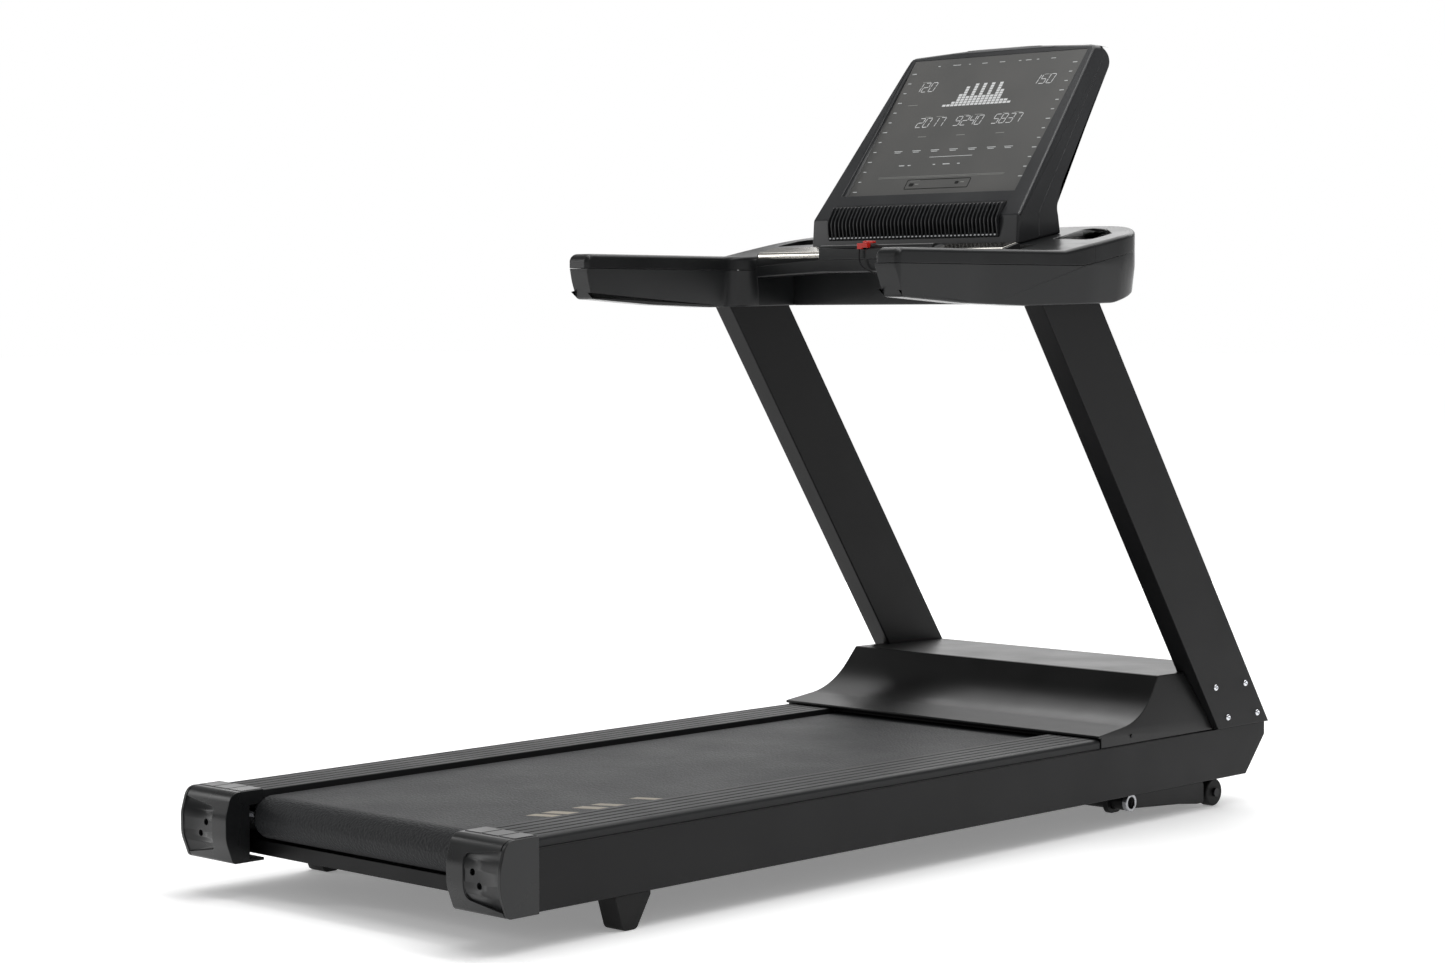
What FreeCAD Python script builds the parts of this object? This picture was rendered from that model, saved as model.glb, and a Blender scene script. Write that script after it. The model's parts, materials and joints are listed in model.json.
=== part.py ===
"""A commercial treadmill: frame, running deck, drive, incline lift, arms and console.

Millimetres. X is the runner's right, Y points forward to the motor hood, Z is up.
While it is drawn, Y = 0 is the rear face of the end caps; every finished piece is then
moved back so that the origin is on the floor, under the middle of the whole machine.
"""

import FreeCAD, Part
import math
import operator
import os
import Sketcher

doc = FreeCAD.newDocument("treadmill")

SIZES = {
    # running surface
    "belt_width": 559,
    "belt_thick": 2.5,
    "belt_top": 173,
    "roller_radius": 35.2,
    "rear_roller_y": 82,
    "front_roller_y": 1604,
    "roller_margin": 7.5,
    "axle_radius": 8.5,
    "axle_reach": 353,
    "deck_thick": 20,
    "deck_margin": 5.5,
    "cushion_height": 22,
    # side frames and what stands on them
    "frame_half": 415,
    "frame_depth": 60,
    "frame_wall": 4,
    "frame_top": 164.4,
    "frame_bottom": 61,
    "frame_front": 2134,
    "rail_inner": 290,
    "rail_outer": 411,
    "rail_top": 183,
    "rail_end": 1568,
    "groove_depth": 2,
    "groove_wide": 4,
    "cap_length": 71,
    "cap_crown": 12,
    "cap_inner": 289,
    "cap_outer": 419,
    "cap_bottom": 59,
    "cap_top": 184.5,
    "cap_plate": 7,
    "cap_sink": 3,
    "cap_pad_width": 38,
    "cap_pad_length": 46,
    "foot_y": 290,
    "foot_length": 82,
    "foot_inner": 365,
    "foot_outer": 410,
    # motor hood and bay
    "hood_back": 1562,
    "hood_half": 413,
    "hood_crease_half": 401,
    "hood_crease_y": 1775,
    "hood_height": 289.5,
    "hood_wall": 4,
    "belt_slot_gap": 4,
    "pan_thick": 3,
    "screw_radius": 3,
    # uprights
    "upright_outer": 427,
    "upright_thick": 45,
    "upright_depth": 183,
    "upright_wall": 2.5,
    "upright_foot": 166,
    "upright_y": 1949,
    "upright_top": 1062,
    "upright_lean": 0.683,
    "bolt_radius": 5,
    # drive
    "motor_radius": 58,
    "motor_length": 195,
    "motor_inner": 60,
    "motor_y": 1850,
    "motor_z": 128,
    "shaft_radius": 8,
    "pulley_inner": 296,
    "pulley_width": 28,
    "motor_pulley_radius": 24,
    "roller_pulley_radius": 36,
    "drive_belt_thick": 3,
    # incline lift
    "pivot_gap": 55.3,
    "pivot_z": 42,
    "pivot_radius": 16.5,
    "pivot_half": 395,
    "lever_length": 70,
    "lever_angle": 30,
    "lift_x": -150,
    "lift_pin_radius": 5,
    "lift_wheel_radius": 28,
    "lift_wheel_width": 24,
    "lift_wheel_y": 1992,
    # arms and console base
    "arm_back": 940,
    "arm_inner": 372,
    "arm_outer": 427,
    "shelf_half": 460,
    "shelf_front": 1715,
    "shelf_corner": 160,
    "arm_top": 1132,
    "top_bend": 1400,
    "seam_bend": 1450,
    "arm_seam": 1104,
    "top_rise": 0.178,
    "shell_wall": 3,
    "shell_draft": 0.105,
    "shell_seam": 0.8,
    "bar_y": 1375,
    "bar_depth": 51,
    "bar_half": 322,
    "bar_top": 1136,
    "centre_half": 148,
    "console_y": 1485,
    "grip_thick": 1.6,
    # console head
    "head_half": 269,
    "head_top_half": 242,
    "knee_y": 1489,
    "knee_z": 1205.5,
    "face_length": 449,
    "face_angle": 50.8,
    "head_wall": 4,
    "glass_half": 226,
    "glass_low": 64,
    "glass_high": 440,
    "glass_thick": 4,
    "fin_pitch": 10,
    "fin_thick": 3.2,
    # safety key and its cord
    "key_x": -18,
    "key_pin_radius": 4,
    "cord_radius": 1.5,
    # running and assembly clearances
    "run_gap": 0.3,
    "fit_gap": 0.05,
    "seat_gap": 0.3,
}

sheet = doc.addObject("Spreadsheet::Sheet", "sizes")
for row, (alias, number) in enumerate(SIZES.items(), 1):
    sheet.set(f"A{row}", alias)
    sheet.set(f"B{row}", str(number))
    sheet.setAlias(f"B{row}", alias)
doc.recompute()


# ---------------------------------------------------------------- sizes that carry formulas

SIGNS = {"+": operator.add, "-": operator.sub, "*": operator.mul, "/": operator.truediv}


class Size:
    """A number together with the spreadsheet formula that gives it."""

    def __init__(self, value, text):
        self.value = float(value)
        self.text = text

    def __add__(self, other):
        return joined(self, "+", other)

    def __radd__(self, other):
        return joined(other, "+", self)

    def __sub__(self, other):
        return joined(self, "-", other)

    def __rsub__(self, other):
        return joined(other, "-", self)

    def __mul__(self, other):
        return joined(self, "*", other)

    def __rmul__(self, other):
        return joined(other, "*", self)

    def __truediv__(self, other):
        return joined(self, "/", other)

    def __neg__(self):
        return joined(-1, "*", self)


class Cells:
    """Reads a cell of the sheet as a Size, by its alias."""

    def __getattr__(self, alias):
        return Size(sheet.get(alias), f"sizes.{alias}")


def size(number):
    """Any number as a Size."""
    if isinstance(number, Size):
        return number
    return Size(number, f"({float(number)!r})")


def joined(first, sign, second):
    """Two sizes joined by a sign, in value and in formula."""
    first = size(first)
    second = size(second)
    value = SIGNS[sign](first.value, second.value)
    return Size(value, f"({first.text} {sign} {second.text})")


def sine(angle):
    """The sine of an angle in degrees."""
    return Size(math.sin(math.radians(angle.value)), f"sin({angle.text})")


def cosine(angle):
    """The cosine of an angle in degrees."""
    return Size(math.cos(math.radians(angle.value)), f"cos({angle.text})")


at = Cells()


# ---------------------------------------------------------------- drawing helpers

places = {}
nodes = {}


def bind(thing, name, value):
    """Tie one property of a thing to a formula."""
    thing.setExpression(name, size(value).text)


def seat(thing, x, y, z, rotation=None):
    """Put a thing's own origin at a place and remember where that is."""
    thing.Placement = FreeCAD.Placement(FreeCAD.Vector(), rotation or FreeCAD.Rotation())
    for letter, value in zip("xyz", (x, y, z)):
        bind(thing, f"Placement.Base.{letter}", value)
    places[thing.Name] = size(y)
    return thing


def corner_arc(before, corner, after, radius):
    """Start, middle and end of the arc that rounds a corner."""
    first = (before - corner).normalize()
    second = (after - corner).normalize()
    half = first.getAngle(second) / 2
    reach = radius / math.tan(half)
    centre = corner + (first + second).normalize() * (radius / math.sin(half))
    middle = centre + (corner - centre).normalize() * radius
    return corner + first * reach, middle, corner + second * reach


def fix_point(sketch, geometry, position, corner):
    """Dimension a sketch point from the sketch's origin."""
    for kind, value in zip(("DistanceX", "DistanceY"), corner):
        made = Sketcher.Constraint(kind, -1, 1, geometry, position, value.value)
        number = sketch.addConstraint(made)
        sketch.setExpression(f"Constraints[{number}]", value.text)


def draw_outline(sketch, points):
    """Draw a closed outline: corners (u, v), or (u, v, radius) where one is rounded."""
    count = len(points)
    corners = [(size(point[0]), size(point[1])) for point in points]
    radii = [size(point[2]) if len(point) > 2 else None for point in points]
    flat = [FreeCAD.Vector(u.value, v.value, 0) for u, v in corners]
    starts = list(flat)
    ends = list(flat)
    arcs = {}
    for index, radius in enumerate(radii):
        if radius is None:
            continue
        after = flat[(index + 1) % count]
        entry, middle, leave = corner_arc(flat[index - 1], flat[index], after, radius.value)
        ends[index] = entry
        starts[index] = leave
        arcs[index] = Part.Arc(entry, middle, leave)
    lines = []
    for index in range(count):
        line = Part.LineSegment(starts[index], ends[(index + 1) % count])
        lines.append(sketch.addGeometry(line, False))
    for index, radius in enumerate(radii):
        before = lines[index - 1]
        after = lines[index]
        if radius is None:
            sketch.addConstraint(Sketcher.Constraint("Coincident", before, 2, after, 1))
            fix_point(sketch, after, 1, corners[index])
            continue
        point = sketch.addGeometry(Part.Point(flat[index]), True)
        fix_point(sketch, point, 1, corners[index])
        for line in (before, after):
            sketch.addConstraint(Sketcher.Constraint("PointOnObject", point, 1, line))
        arc = sketch.addGeometry(arcs[index], False)
        straight = sketch.getPoint(arc, 1).distanceToPoint(ends[index]) < 1e-6
        first, second = (1, 2) if straight else (2, 1)
        sketch.addConstraint(Sketcher.Constraint("Tangent", before, 2, arc, first))
        sketch.addConstraint(Sketcher.Constraint("Tangent", arc, second, after, 1))
        number = sketch.addConstraint(Sketcher.Constraint("Radius", arc, radius.value))
        sketch.setExpression(f"Constraints[{number}]", radius.text)


def new_sketch(body, role, offset, points):
    """A sketch on one of a body's own planes, moved along that plane's normal."""
    sketch = body.newObject("Sketcher::SketchObject", body.Name + "_sketch")
    plane = [feature for feature in body.Origin.OriginFeatures if feature.Role == role][0]
    sketch.AttachmentSupport = [(plane, "")]
    sketch.MapMode = "FlatFace"
    bind(sketch, "AttachmentOffset.Base.z", offset)
    draw_outline(sketch, points)
    return sketch


def pad(name, role, low, high, points):
    """A body padded between two levels: XY_Plane along Z, YZ_Plane along X, XZ_Plane along Y."""
    body = doc.addObject("PartDesign::Body", name)
    offset = size(low)
    if role == "XZ_Plane":
        offset = -size(high)
    sketch = new_sketch(body, role, offset, points)
    made = body.newObject("PartDesign::Pad", name + "_pad")
    made.Profile = sketch
    bind(made, "Length", size(high) - low)
    return seat(body, 0, 0, 0)


def loft(name, low, high, points_low, points_high):
    """A body whose plan changes evenly from one level to another."""
    body = doc.addObject("PartDesign::Body", name)
    lower = new_sketch(body, "XY_Plane", low, points_low)
    upper = new_sketch(body, "XY_Plane", high, points_high)
    made = body.newObject("PartDesign::AdditiveLoft", name + "_loft")
    made.Profile = lower
    made.Sections = [upper]
    made.Ruled = True
    return seat(body, 0, 0, 0)


def turned(name, points, y, z):
    """A body turned about an axis along X; the points are (x, radius)."""
    body = doc.addObject("PartDesign::Body", name)
    sketch = new_sketch(body, "XY_Plane", 0, points)
    made = body.newObject("PartDesign::Revolution", name + "_turn")
    made.Profile = sketch
    made.ReferenceAxis = (sketch, ["H_Axis"])
    return seat(body, 0, y, z)


def box(name, x, y, z):
    """A block between a low and a high level on each axis."""
    made = doc.addObject("Part::Box", name)
    for side, (low, high) in zip(("Length", "Width", "Height"), (x, y, z)):
        bind(made, side, size(high) - low)
    return seat(made, x[0], y[0], z[0])


TURNS = {
    "x": FreeCAD.Rotation(FreeCAD.Vector(0, 1, 0), 90),
    "y": FreeCAD.Rotation(FreeCAD.Vector(1, 0, 0), -90),
    "z": FreeCAD.Rotation(),
}


def rod(name, axis, start, radius, length):
    """A round bar from a start point along an axis."""
    made = doc.addObject("Part::Cylinder", name)
    bind(made, "Radius", radius)
    bind(made, "Height", length)
    return seat(made, *start, TURNS[axis])


def cut(name, base, *tools):
    """A piece with other shapes taken out of it, one after another."""
    for number, tool in enumerate(tools, 1):
        last = number == len(tools)
        made = doc.addObject("Part::Cut", name if last else f"{name}_cut{number}")
        made.Base = base
        made.Tool = tool
        base = made
    return seat(base, 0, 0, 0)


def fuse(name, *parts):
    """Several shapes joined into one solid."""
    made = doc.addObject("Part::MultiFuse", name)
    made.Shapes = list(parts)
    return seat(made, 0, 0, 0)


def common(name, *parts):
    """What several shapes share."""
    made = doc.addObject("Part::MultiCommon", name)
    made.Shapes = list(parts)
    return seat(made, 0, 0, 0)


def group(name, parts):
    """Separate solids that are one kind of piece."""
    made = doc.addObject("Part::Compound", name)
    made.Links = list(parts)
    return seat(made, 0, 0, 0)


def rounded(name, base, radius, chosen):
    """A piece whose chosen edges are rounded; chosen is asked about each edge."""
    doc.recompute()
    edges = [number for number, edge in enumerate(base.Shape.Edges, 1) if chosen(edge)]
    made = doc.addObject("Part::Fillet", name)
    made.Base = base
    made.Edges = [(number, size(radius).value, size(radius).value) for number in edges]
    return seat(made, 0, 0, 0)


def node(name, made):
    """Keep a finished piece under the name of its node."""
    made.Label = name
    nodes[name] = made
    return made


def sides():
    """The two sides of the machine: a word and the sign of X."""
    return (("left", -1), ("right", 1))


def span(side, inner, outer):
    """A stretch of X on one side, low end first."""
    if side > 0:
        return inner, outer
    return -size(outer), -size(inner)


# ---------------------------------------------------------------- shared positions

RISER_THICK = 8

roller_length = at.belt_width + 2 * at.roller_margin
deck_width = at.belt_width + 2 * at.deck_margin
pivot_y = at.front_roller_y + at.roller_radius + at.pivot_gap
roller_z = at.belt_top - at.belt_thick - at.run_gap - at.roller_radius
deck_top = at.belt_top - at.belt_thick
deck_bottom = deck_top - at.deck_thick
cross_top = deck_bottom - at.cushion_height
upright_end = at.upright_y + at.upright_depth
centre_y = (at.frame_front - at.cap_crown) / 2
pin_y = pivot_y - at.lever_length * sine(at.lever_angle)
pin_z = at.pivot_z + at.lever_length * cosine(at.lever_angle)
screw_z = pin_z + 4.7
pulley_outer = at.pulley_inner + at.pulley_width
belt_low = roller_z - at.roller_radius - at.run_gap - at.belt_thick
DECK_ROWS = (250, 650, 1050, 1450)


def top_at(y):
    """Height of the console base's sloping top."""
    return at.arm_top + (size(y) - at.top_bend) * at.top_rise


def seam_at(y):
    """Height of the seam between the upper and lower shells, where it climbs."""
    return at.arm_seam + (size(y) - at.seam_bend) * at.top_rise


def face_point(along, out):
    """A point in the YZ plane, measured up the console's face from its knee and out of it."""
    along = size(along)
    out = size(out)
    y = at.knee_y + along * cosine(at.face_angle) - out * sine(at.face_angle)
    z = at.knee_z + along * sine(at.face_angle) + out * cosine(at.face_angle)
    return y, z


def upright_edge(z, clearance=0):
    """Y of an upright's rear edge at a height."""
    return at.upright_y - (size(z) - at.upright_foot) * at.upright_lean - clearance


# ---------------------------------------------------------------- frame

def side_frame(word, side):
    """A channel folded from plate, open to the inside, its nose cut back below."""
    inner, outer = span(side, at.frame_half - at.frame_depth, at.frame_half)
    profile = [
        (at.cap_length, at.frame_bottom),
        (at.frame_front - 68, at.frame_bottom),
        (at.frame_front, at.frame_top - 27),
        (at.frame_front, at.frame_top),
        (at.cap_length, at.frame_top),
    ]
    plate = pad(f"{word}_frame_block", "YZ_Plane", inner, outer, profile)
    low, high = span(side, at.frame_half - at.frame_depth - 1, at.frame_half - at.frame_wall)
    hollow = pad(f"{word}_frame_hollow", "YZ_Plane", low, high, [
        (at.cap_length - 1, at.frame_bottom + at.frame_wall),
        (at.frame_front - 70, at.frame_bottom + at.frame_wall),
        (at.frame_front - at.frame_wall, at.frame_top - 25),
        (at.frame_front - at.frame_wall, at.frame_top - at.frame_wall),
        (at.cap_length - 1, at.frame_top - at.frame_wall),
    ])
    node(f"{word}_side_frame", cut(f"{word}_side_frame", plate, hollow))


def crossmembers():
    """Square tubes from side frame to side frame, some between the two runs of the belt."""
    web = at.frame_half - at.frame_wall
    parts = [box("cross_rear", (-web, web), (at.cap_length + 4, at.cap_length + 64),
                 (at.frame_bottom + 5, belt_low - 5))]
    for number, y in enumerate(DECK_ROWS):
        parts.append(box(f"cross_deck{number}", (-web, web), (y - 20, y + 20), (cross_top - 25, cross_top)))
    for number, y in enumerate((at.motor_y - 80, size(2030))):
        low = at.frame_bottom + at.frame_wall + at.pan_thick
        parts.append(box(f"cross_bay{number}", (-web, web), (y - 15, y + 15), (low, low + 26)))
    node("crossmembers", group("crossmembers", parts))


def foot_rail(word, side):
    """A ribbed plastic extrusion to stand on, grooved along its length."""
    top = at.rail_top
    points = [(at.rail_inner, at.frame_top + 1), (at.rail_inner, top, 2)]
    width = at.rail_outer - at.rail_inner
    for step in (0.14, 0.32, 0.5, 0.68, 0.86):
        middle = at.rail_inner + width * step
        left = middle - at.groove_wide / 2
        right = middle + at.groove_wide / 2
        points += [
            (left, top),
            (left, top - at.groove_depth),
            (right, top - at.groove_depth),
            (right, top),
        ]
    points += [(at.rail_outer, top - 1, 8), (at.rail_outer, at.frame_top + at.seat_gap / 2)]
    points += [(at.rail_outer - 20, at.frame_top + at.seat_gap / 2), (at.rail_outer - 20, top - 9)]
    points += [(at.rail_inner + 8, top - 9), (at.rail_inner + 8, at.frame_top + 1)]
    points = [(size(point[0]) * side, *point[1:]) for point in points]
    made = pad(f"{word}_foot_rail", "XZ_Plane", at.cap_length, at.rail_end, points)
    node(f"{word}_foot_rail", made)


def cap_outline(inset):
    """Side view of an end cap, crowned to the rear, or the same shape some way inside it."""
    low = at.cap_bottom + inset
    high = at.cap_top - inset
    back = inset - at.cap_crown
    return [
        (at.cap_length, low),
        (inset + 4, low, 10),
        (back, at.cap_bottom + 42, 60),
        (back, at.cap_bottom + 82, 60),
        (inset + 1, high, 22),
        (at.cap_length, high),
    ]


def end_cap(word, side):
    """A moulded cap on the tail of each side frame: a sunk rear panel, two holes and three pads."""
    low, high = span(side, at.cap_inner, at.cap_outer)
    crown = pad(f"{word}_cap_block", "YZ_Plane", low, high, cap_outline(0))
    tops = []
    start = at.cap_inner + 4
    for number in range(3):
        ends = span(side, start, start + at.cap_pad_width)
        reach = (at.cap_length - at.cap_pad_length, at.cap_length)
        tops.append(box(f"{word}_cap_pad{number}", ends, reach, (at.cap_top - 2, at.cap_top + 1)))
        start = start + at.cap_pad_width + 3
    solid = fuse(f"{word}_cap_solid", crown, *tops)
    inner, outer = span(side, at.frame_half - 86, at.frame_half - at.frame_wall)
    hollow = box(f"{word}_cap_hollow", (inner, outer), (6, at.cap_length + 1), (67, 160))
    front_inner, front_outer = span(side, at.frame_half - 126, at.frame_half - 86)
    relief = box(f"{word}_cap_relief", (front_inner - 1, front_outer + 1), (40, at.cap_length + 1), (64, 160))
    tools = [hollow, relief]
    plate = at.cap_outer - at.cap_plate
    core = pad(f"{word}_cap_core", "YZ_Plane", low, high, cap_outline(at.cap_sink))
    corners = ((at.cap_inner + 40, 83, 12), (plate - 1, 68.5), (plate - 1, 168), (at.cap_inner + 40, 157, 8))
    points = [(side * size(corner[0]), *corner[1:]) for corner in corners]
    panel = pad(f"{word}_cap_panel", "XZ_Plane", -at.cap_crown - 5, 30, points)
    tools.append(cut(f"{word}_cap_panel_sink", panel, core))
    ends = span(side, plate - 1.6, plate)
    gap = box(f"{word}_cap_gap", ends, (-at.cap_crown - 5, at.cap_length + 1), (at.cap_bottom - 1, at.cap_top + 2))
    tools.append(cut(f"{word}_cap_groove", gap, core))
    for number, (x, z) in enumerate(((349, 129), (365, 108))):
        start = (side * size(x), -at.cap_crown - 1, z)
        tools.append(rod(f"{word}_cap_hole{number}", "y", start, 5.5, 30))
    node(f"{word}_end_cap", cut(f"{word}_end_cap", solid, *tools))


def rear_foot(word, side):
    """A rubber foot that tapers to a rounded tread on the floor."""
    low, high = span(side, at.foot_inner, at.foot_outer)
    half = at.foot_length / 2
    made = pad(f"{word}_rear_foot", "YZ_Plane", low, high, [
        (at.foot_y - half, at.frame_bottom),
        (at.foot_y - half, at.frame_bottom - 7),
        (at.foot_y - 24, 0, 12),
        (at.foot_y + 8, 0, 12),
        (at.foot_y + half, at.frame_bottom - 7),
        (at.foot_y + half, at.frame_bottom),
    ])
    node(f"{word}_rear_foot", made)


# ---------------------------------------------------------------- running deck

def deck():
    """The waxed board under the belt and the rubber cushions that carry it."""
    half = deck_width / 2
    low = at.rear_roller_y + at.roller_radius + 6
    high = at.front_roller_y - at.roller_radius - 6
    node("deck_board", box("deck_board", (-half, half), (low, high), (deck_bottom, deck_top)))
    cushions = []
    for row, y in enumerate(DECK_ROWS):
        for word, side in sides():
            start = (side * size(230), y, cross_top)
            cushions.append(rod(f"cushion_{word}{row}", "z", start, 18, at.cushion_height))
    node("deck_cushions", group("deck_cushions", cushions))


def slot_outline(radius):
    """A round-ended loop about both rollers."""
    back = at.rear_roller_y - radius
    front = at.front_roller_y + radius
    turn = radius - 0.01
    return [
        (back, roller_z - radius, turn),
        (front, roller_z - radius, turn),
        (front, roller_z + radius, turn),
        (back, roller_z + radius, turn),
    ]


def running_belt():
    """The endless belt, a closed loop round both rollers."""
    half = at.belt_width / 2
    inside = at.roller_radius + at.run_gap
    outer = pad("belt_outside", "YZ_Plane", -half, half, slot_outline(inside + at.belt_thick))
    inner = pad("belt_inside", "YZ_Plane", -half - 1, half + 1, slot_outline(inside))
    node("running_belt", cut("running_belt", outer, inner))


def roller(word, y):
    """A tube with end hubs, its fixed axle and the two bearings pressed on that axle."""
    half = roller_length / 2
    bore = size(17.5)
    node(f"{word}_roller", turned(f"{word}_roller", [
        (-half, bore), (-half, at.roller_radius), (half, at.roller_radius), (half, bore),
        (half - 17, bore), (half - 17, at.roller_radius - 4),
        (17 - half, at.roller_radius - 4), (17 - half, bore),
    ], y, roller_z))
    steps = [(-at.axle_reach, 0), (-at.axle_reach, at.axle_radius)]
    race = bore - at.fit_gap
    for sign in (-1, 1):
        ends = [sign * (half - 8) - 7, sign * (half - 8) + 7]
        steps += [(ends[0], at.axle_radius), (ends[0], race), (ends[1], race), (ends[1], at.axle_radius)]
    steps += [(at.axle_reach, at.axle_radius), (at.axle_reach, 0)]
    node(f"{word}_axle", turned(f"{word}_axle", steps, y, roller_z))


def axle_blocks():
    """Blocks in the side frames that hold the two axles, and the bolts that tension the belt."""
    blocks = []
    bolts = []
    for place, y in (("rear", at.rear_roller_y), ("front", at.front_roller_y)):
        for word, side in sides():
            low, high = span(side, at.axle_reach - 21, at.frame_half - at.frame_wall)
            block = box(f"{place}_{word}_block", (low, high), (y - 16, y + 16), (roller_z - 17, roller_z + 17))
            start = (low if side > 0 else high - 21 - 0.05, y, roller_z)
            hole = rod(f"{place}_{word}_bore", "x", start, at.axle_radius + at.fit_gap, 21.05)
            blocks.append(cut(f"{place}_{word}_axle_block", block, hole))
        for word, side in sides():
            if place == "front":
                continue
            start = (side * size(349), 8, 129)
            bolts.append(rod(f"{word}_adjust_bolt", "y", start, 4.5, y - 16 - 8))
    node("axle_blocks", group("axle_blocks", blocks))
    return bolts


# ---------------------------------------------------------------- motor hood and bay

def hood_outline(inset):
    """Side view of the hood: a low lip, a scooped ramp, a flat top and a sloping nose."""
    crease = at.hood_crease_y
    top = at.hood_height
    low = at.frame_top + at.seat_gap
    lip = at.hood_back + 12 * (1 if inset else 0)
    foot = low - (2 if inset else 0)
    return [
        (lip, at.rail_top + 1.5 - (30 if inset else 0)),
        (lip, at.rail_top + 7 - inset * 0.6),
        (crease - 66, at.rail_top + 24.4 - inset, 160 + inset),
        (crease + inset * 0.5, top - inset, 6),
        (at.frame_front - 78 - inset * 0.4, top - 3.5 - inset, 25),
        (at.frame_front - 6 - inset, low + 20),
        (at.frame_front - 6 - inset, foot),
        (at.hood_back + 12, foot) if inset else (at.hood_back + 8, foot),
    ]


def hood_shape(name, inset):
    """The hood's side view, narrowed towards its top."""
    outline = hood_outline(inset)
    if not inset:
        outline.append((at.hood_back + 8, at.rail_top + 1.5))
    else:
        outline = outline[1:]
    half = at.hood_half - inset
    body = pad(name + "_side", "YZ_Plane", -half - 5, half + 5, outline)
    crease = at.hood_crease_half - inset
    front = pad(name + "_front", "XZ_Plane", at.hood_back - 10, at.frame_front + 10, [
        (-half, at.frame_top - 10),
        (half, at.frame_top - 10),
        (half, at.rail_top + 8),
        (crease, at.hood_height + 2),
        (-crease, at.hood_height + 2),
        (-half, at.rail_top + 8),
    ])
    return common(name, body, front)


def upright_shape(name, side, clearance, bottom, top, inset=0):
    """The slanted prism of an upright, grown by a clearance or shrunk by its wall."""
    outer = at.upright_outer + clearance - inset
    inner = at.upright_outer - at.upright_thick - clearance + inset
    low, high = span(side, inner, outer)
    wide = at.upright_depth + 2 * clearance * 1.21 - 2 * inset * 1.21
    back_low = upright_edge(bottom, clearance * 1.21) + inset * 1.21
    back_high = upright_edge(top, clearance * 1.21) + inset * 1.21
    return pad(name, "YZ_Plane", low, high, [
        (back_low, bottom),
        (back_low + wide, bottom),
        (back_high + wide, top),
        (back_high, top),
    ])


def motor_hood():
    """A moulded hood over the motor bay, notched round the two uprights."""
    outer = hood_shape("hood_outside", 0)
    inner = hood_shape("hood_inside", at.hood_wall)
    tools = [inner]
    for word, side in sides():
        tools.append(upright_shape(f"{word}_hood_notch", side, size(1), at.frame_top - 5, size(320)))
    reach = (at.hood_back + 2, at.hood_back + 14)
    slot_half = at.belt_width / 2 + at.belt_slot_gap
    slot_top = deck_top + at.belt_thick + at.belt_slot_gap
    tools.append(box("hood_belt_slot", (-slot_half, slot_half), reach, (at.frame_top - 1, slot_top)))
    node("motor_hood", cut("motor_hood", outer, *tools))


def upright(word, side):
    """A rectangular steel tube that leans back from the side frame to the console."""
    tube = upright_shape(f"{word}_upright_tube", side, size(0), at.upright_foot, at.upright_top)
    bore = upright_shape(
        f"{word}_upright_bore", side, size(0), at.upright_foot - 1, at.upright_top + 1, at.upright_wall
    )
    holes = bolt_rods(word, side, "upright_hole", at.bolt_radius + at.fit_gap)
    node(f"{word}_upright", cut(f"{word}_upright", tube, bore, *holes))


def riser(word, side):
    """A plate that rises from the side frame inside the hood and takes the upright's bolts."""
    face = at.upright_outer - at.upright_thick
    low, high = span(side, face - RISER_THICK, face)
    made = pad(f"{word}_riser_plate", "YZ_Plane", low, high, [
        (at.upright_y - 60, at.frame_top),
        (at.upright_y + 165, at.frame_top),
        (at.upright_y + 104, at.frame_top + 102, 15),
        (at.upright_y - 60, at.frame_top + 102, 15),
    ])
    holes = bolt_rods(word, side, "riser_hole", at.bolt_radius + at.fit_gap)
    return cut(f"{word}_riser", made, *holes)


def bolt_places():
    """Where the four bolts of an upright cross it, as (y, z)."""
    for z in (252.5, 187.5):
        for offset in (48, 154):
            yield upright_edge(z) + offset, z


def bolt_rods(word, side, kind, radius):
    """Bars along an upright's four bolts, through the tube and the riser plate."""
    reach = at.upright_thick + RISER_THICK + 4
    head = side * at.upright_outer
    start = head - reach if side > 0 else head
    places_now = enumerate(bolt_places())
    return [rod(f"{word}_{kind}{number}", "x", (start, y, z), radius, reach) for number, (y, z) in places_now]


def upright_bolts():
    """Four button-head bolts through each upright into its riser plate."""
    bolts = []
    for word, side in sides():
        head = side * at.upright_outer
        start = head if side > 0 else head - 4
        shanks = bolt_rods(word, side, "bolt_shank", at.bolt_radius)
        for number, (y, z) in enumerate(bolt_places()):
            cap = rod(f"{word}_bolt_head{number}", "x", (start, y, z), at.bolt_radius + 1.8, 4)
            bolts.append(fuse(f"{word}_bolt{number}", shanks[number], cap))
    node("upright_bolts", group("upright_bolts", bolts))


def body_screws(adjusters):
    """The belt's two adjusting bolts and the hood's side screws, all blackened steel."""
    screws = list(adjusters)
    for word, side in sides():
        head = side * at.hood_half
        start = head if side > 0 else head - 2
        made = rod(f"{word}_hood_screw", "x", (start, at.hood_crease_y - 105, at.rail_top - 3), 4, 2)
        screws.append(made)
    node("body_screws", group("body_screws", screws))


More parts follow.
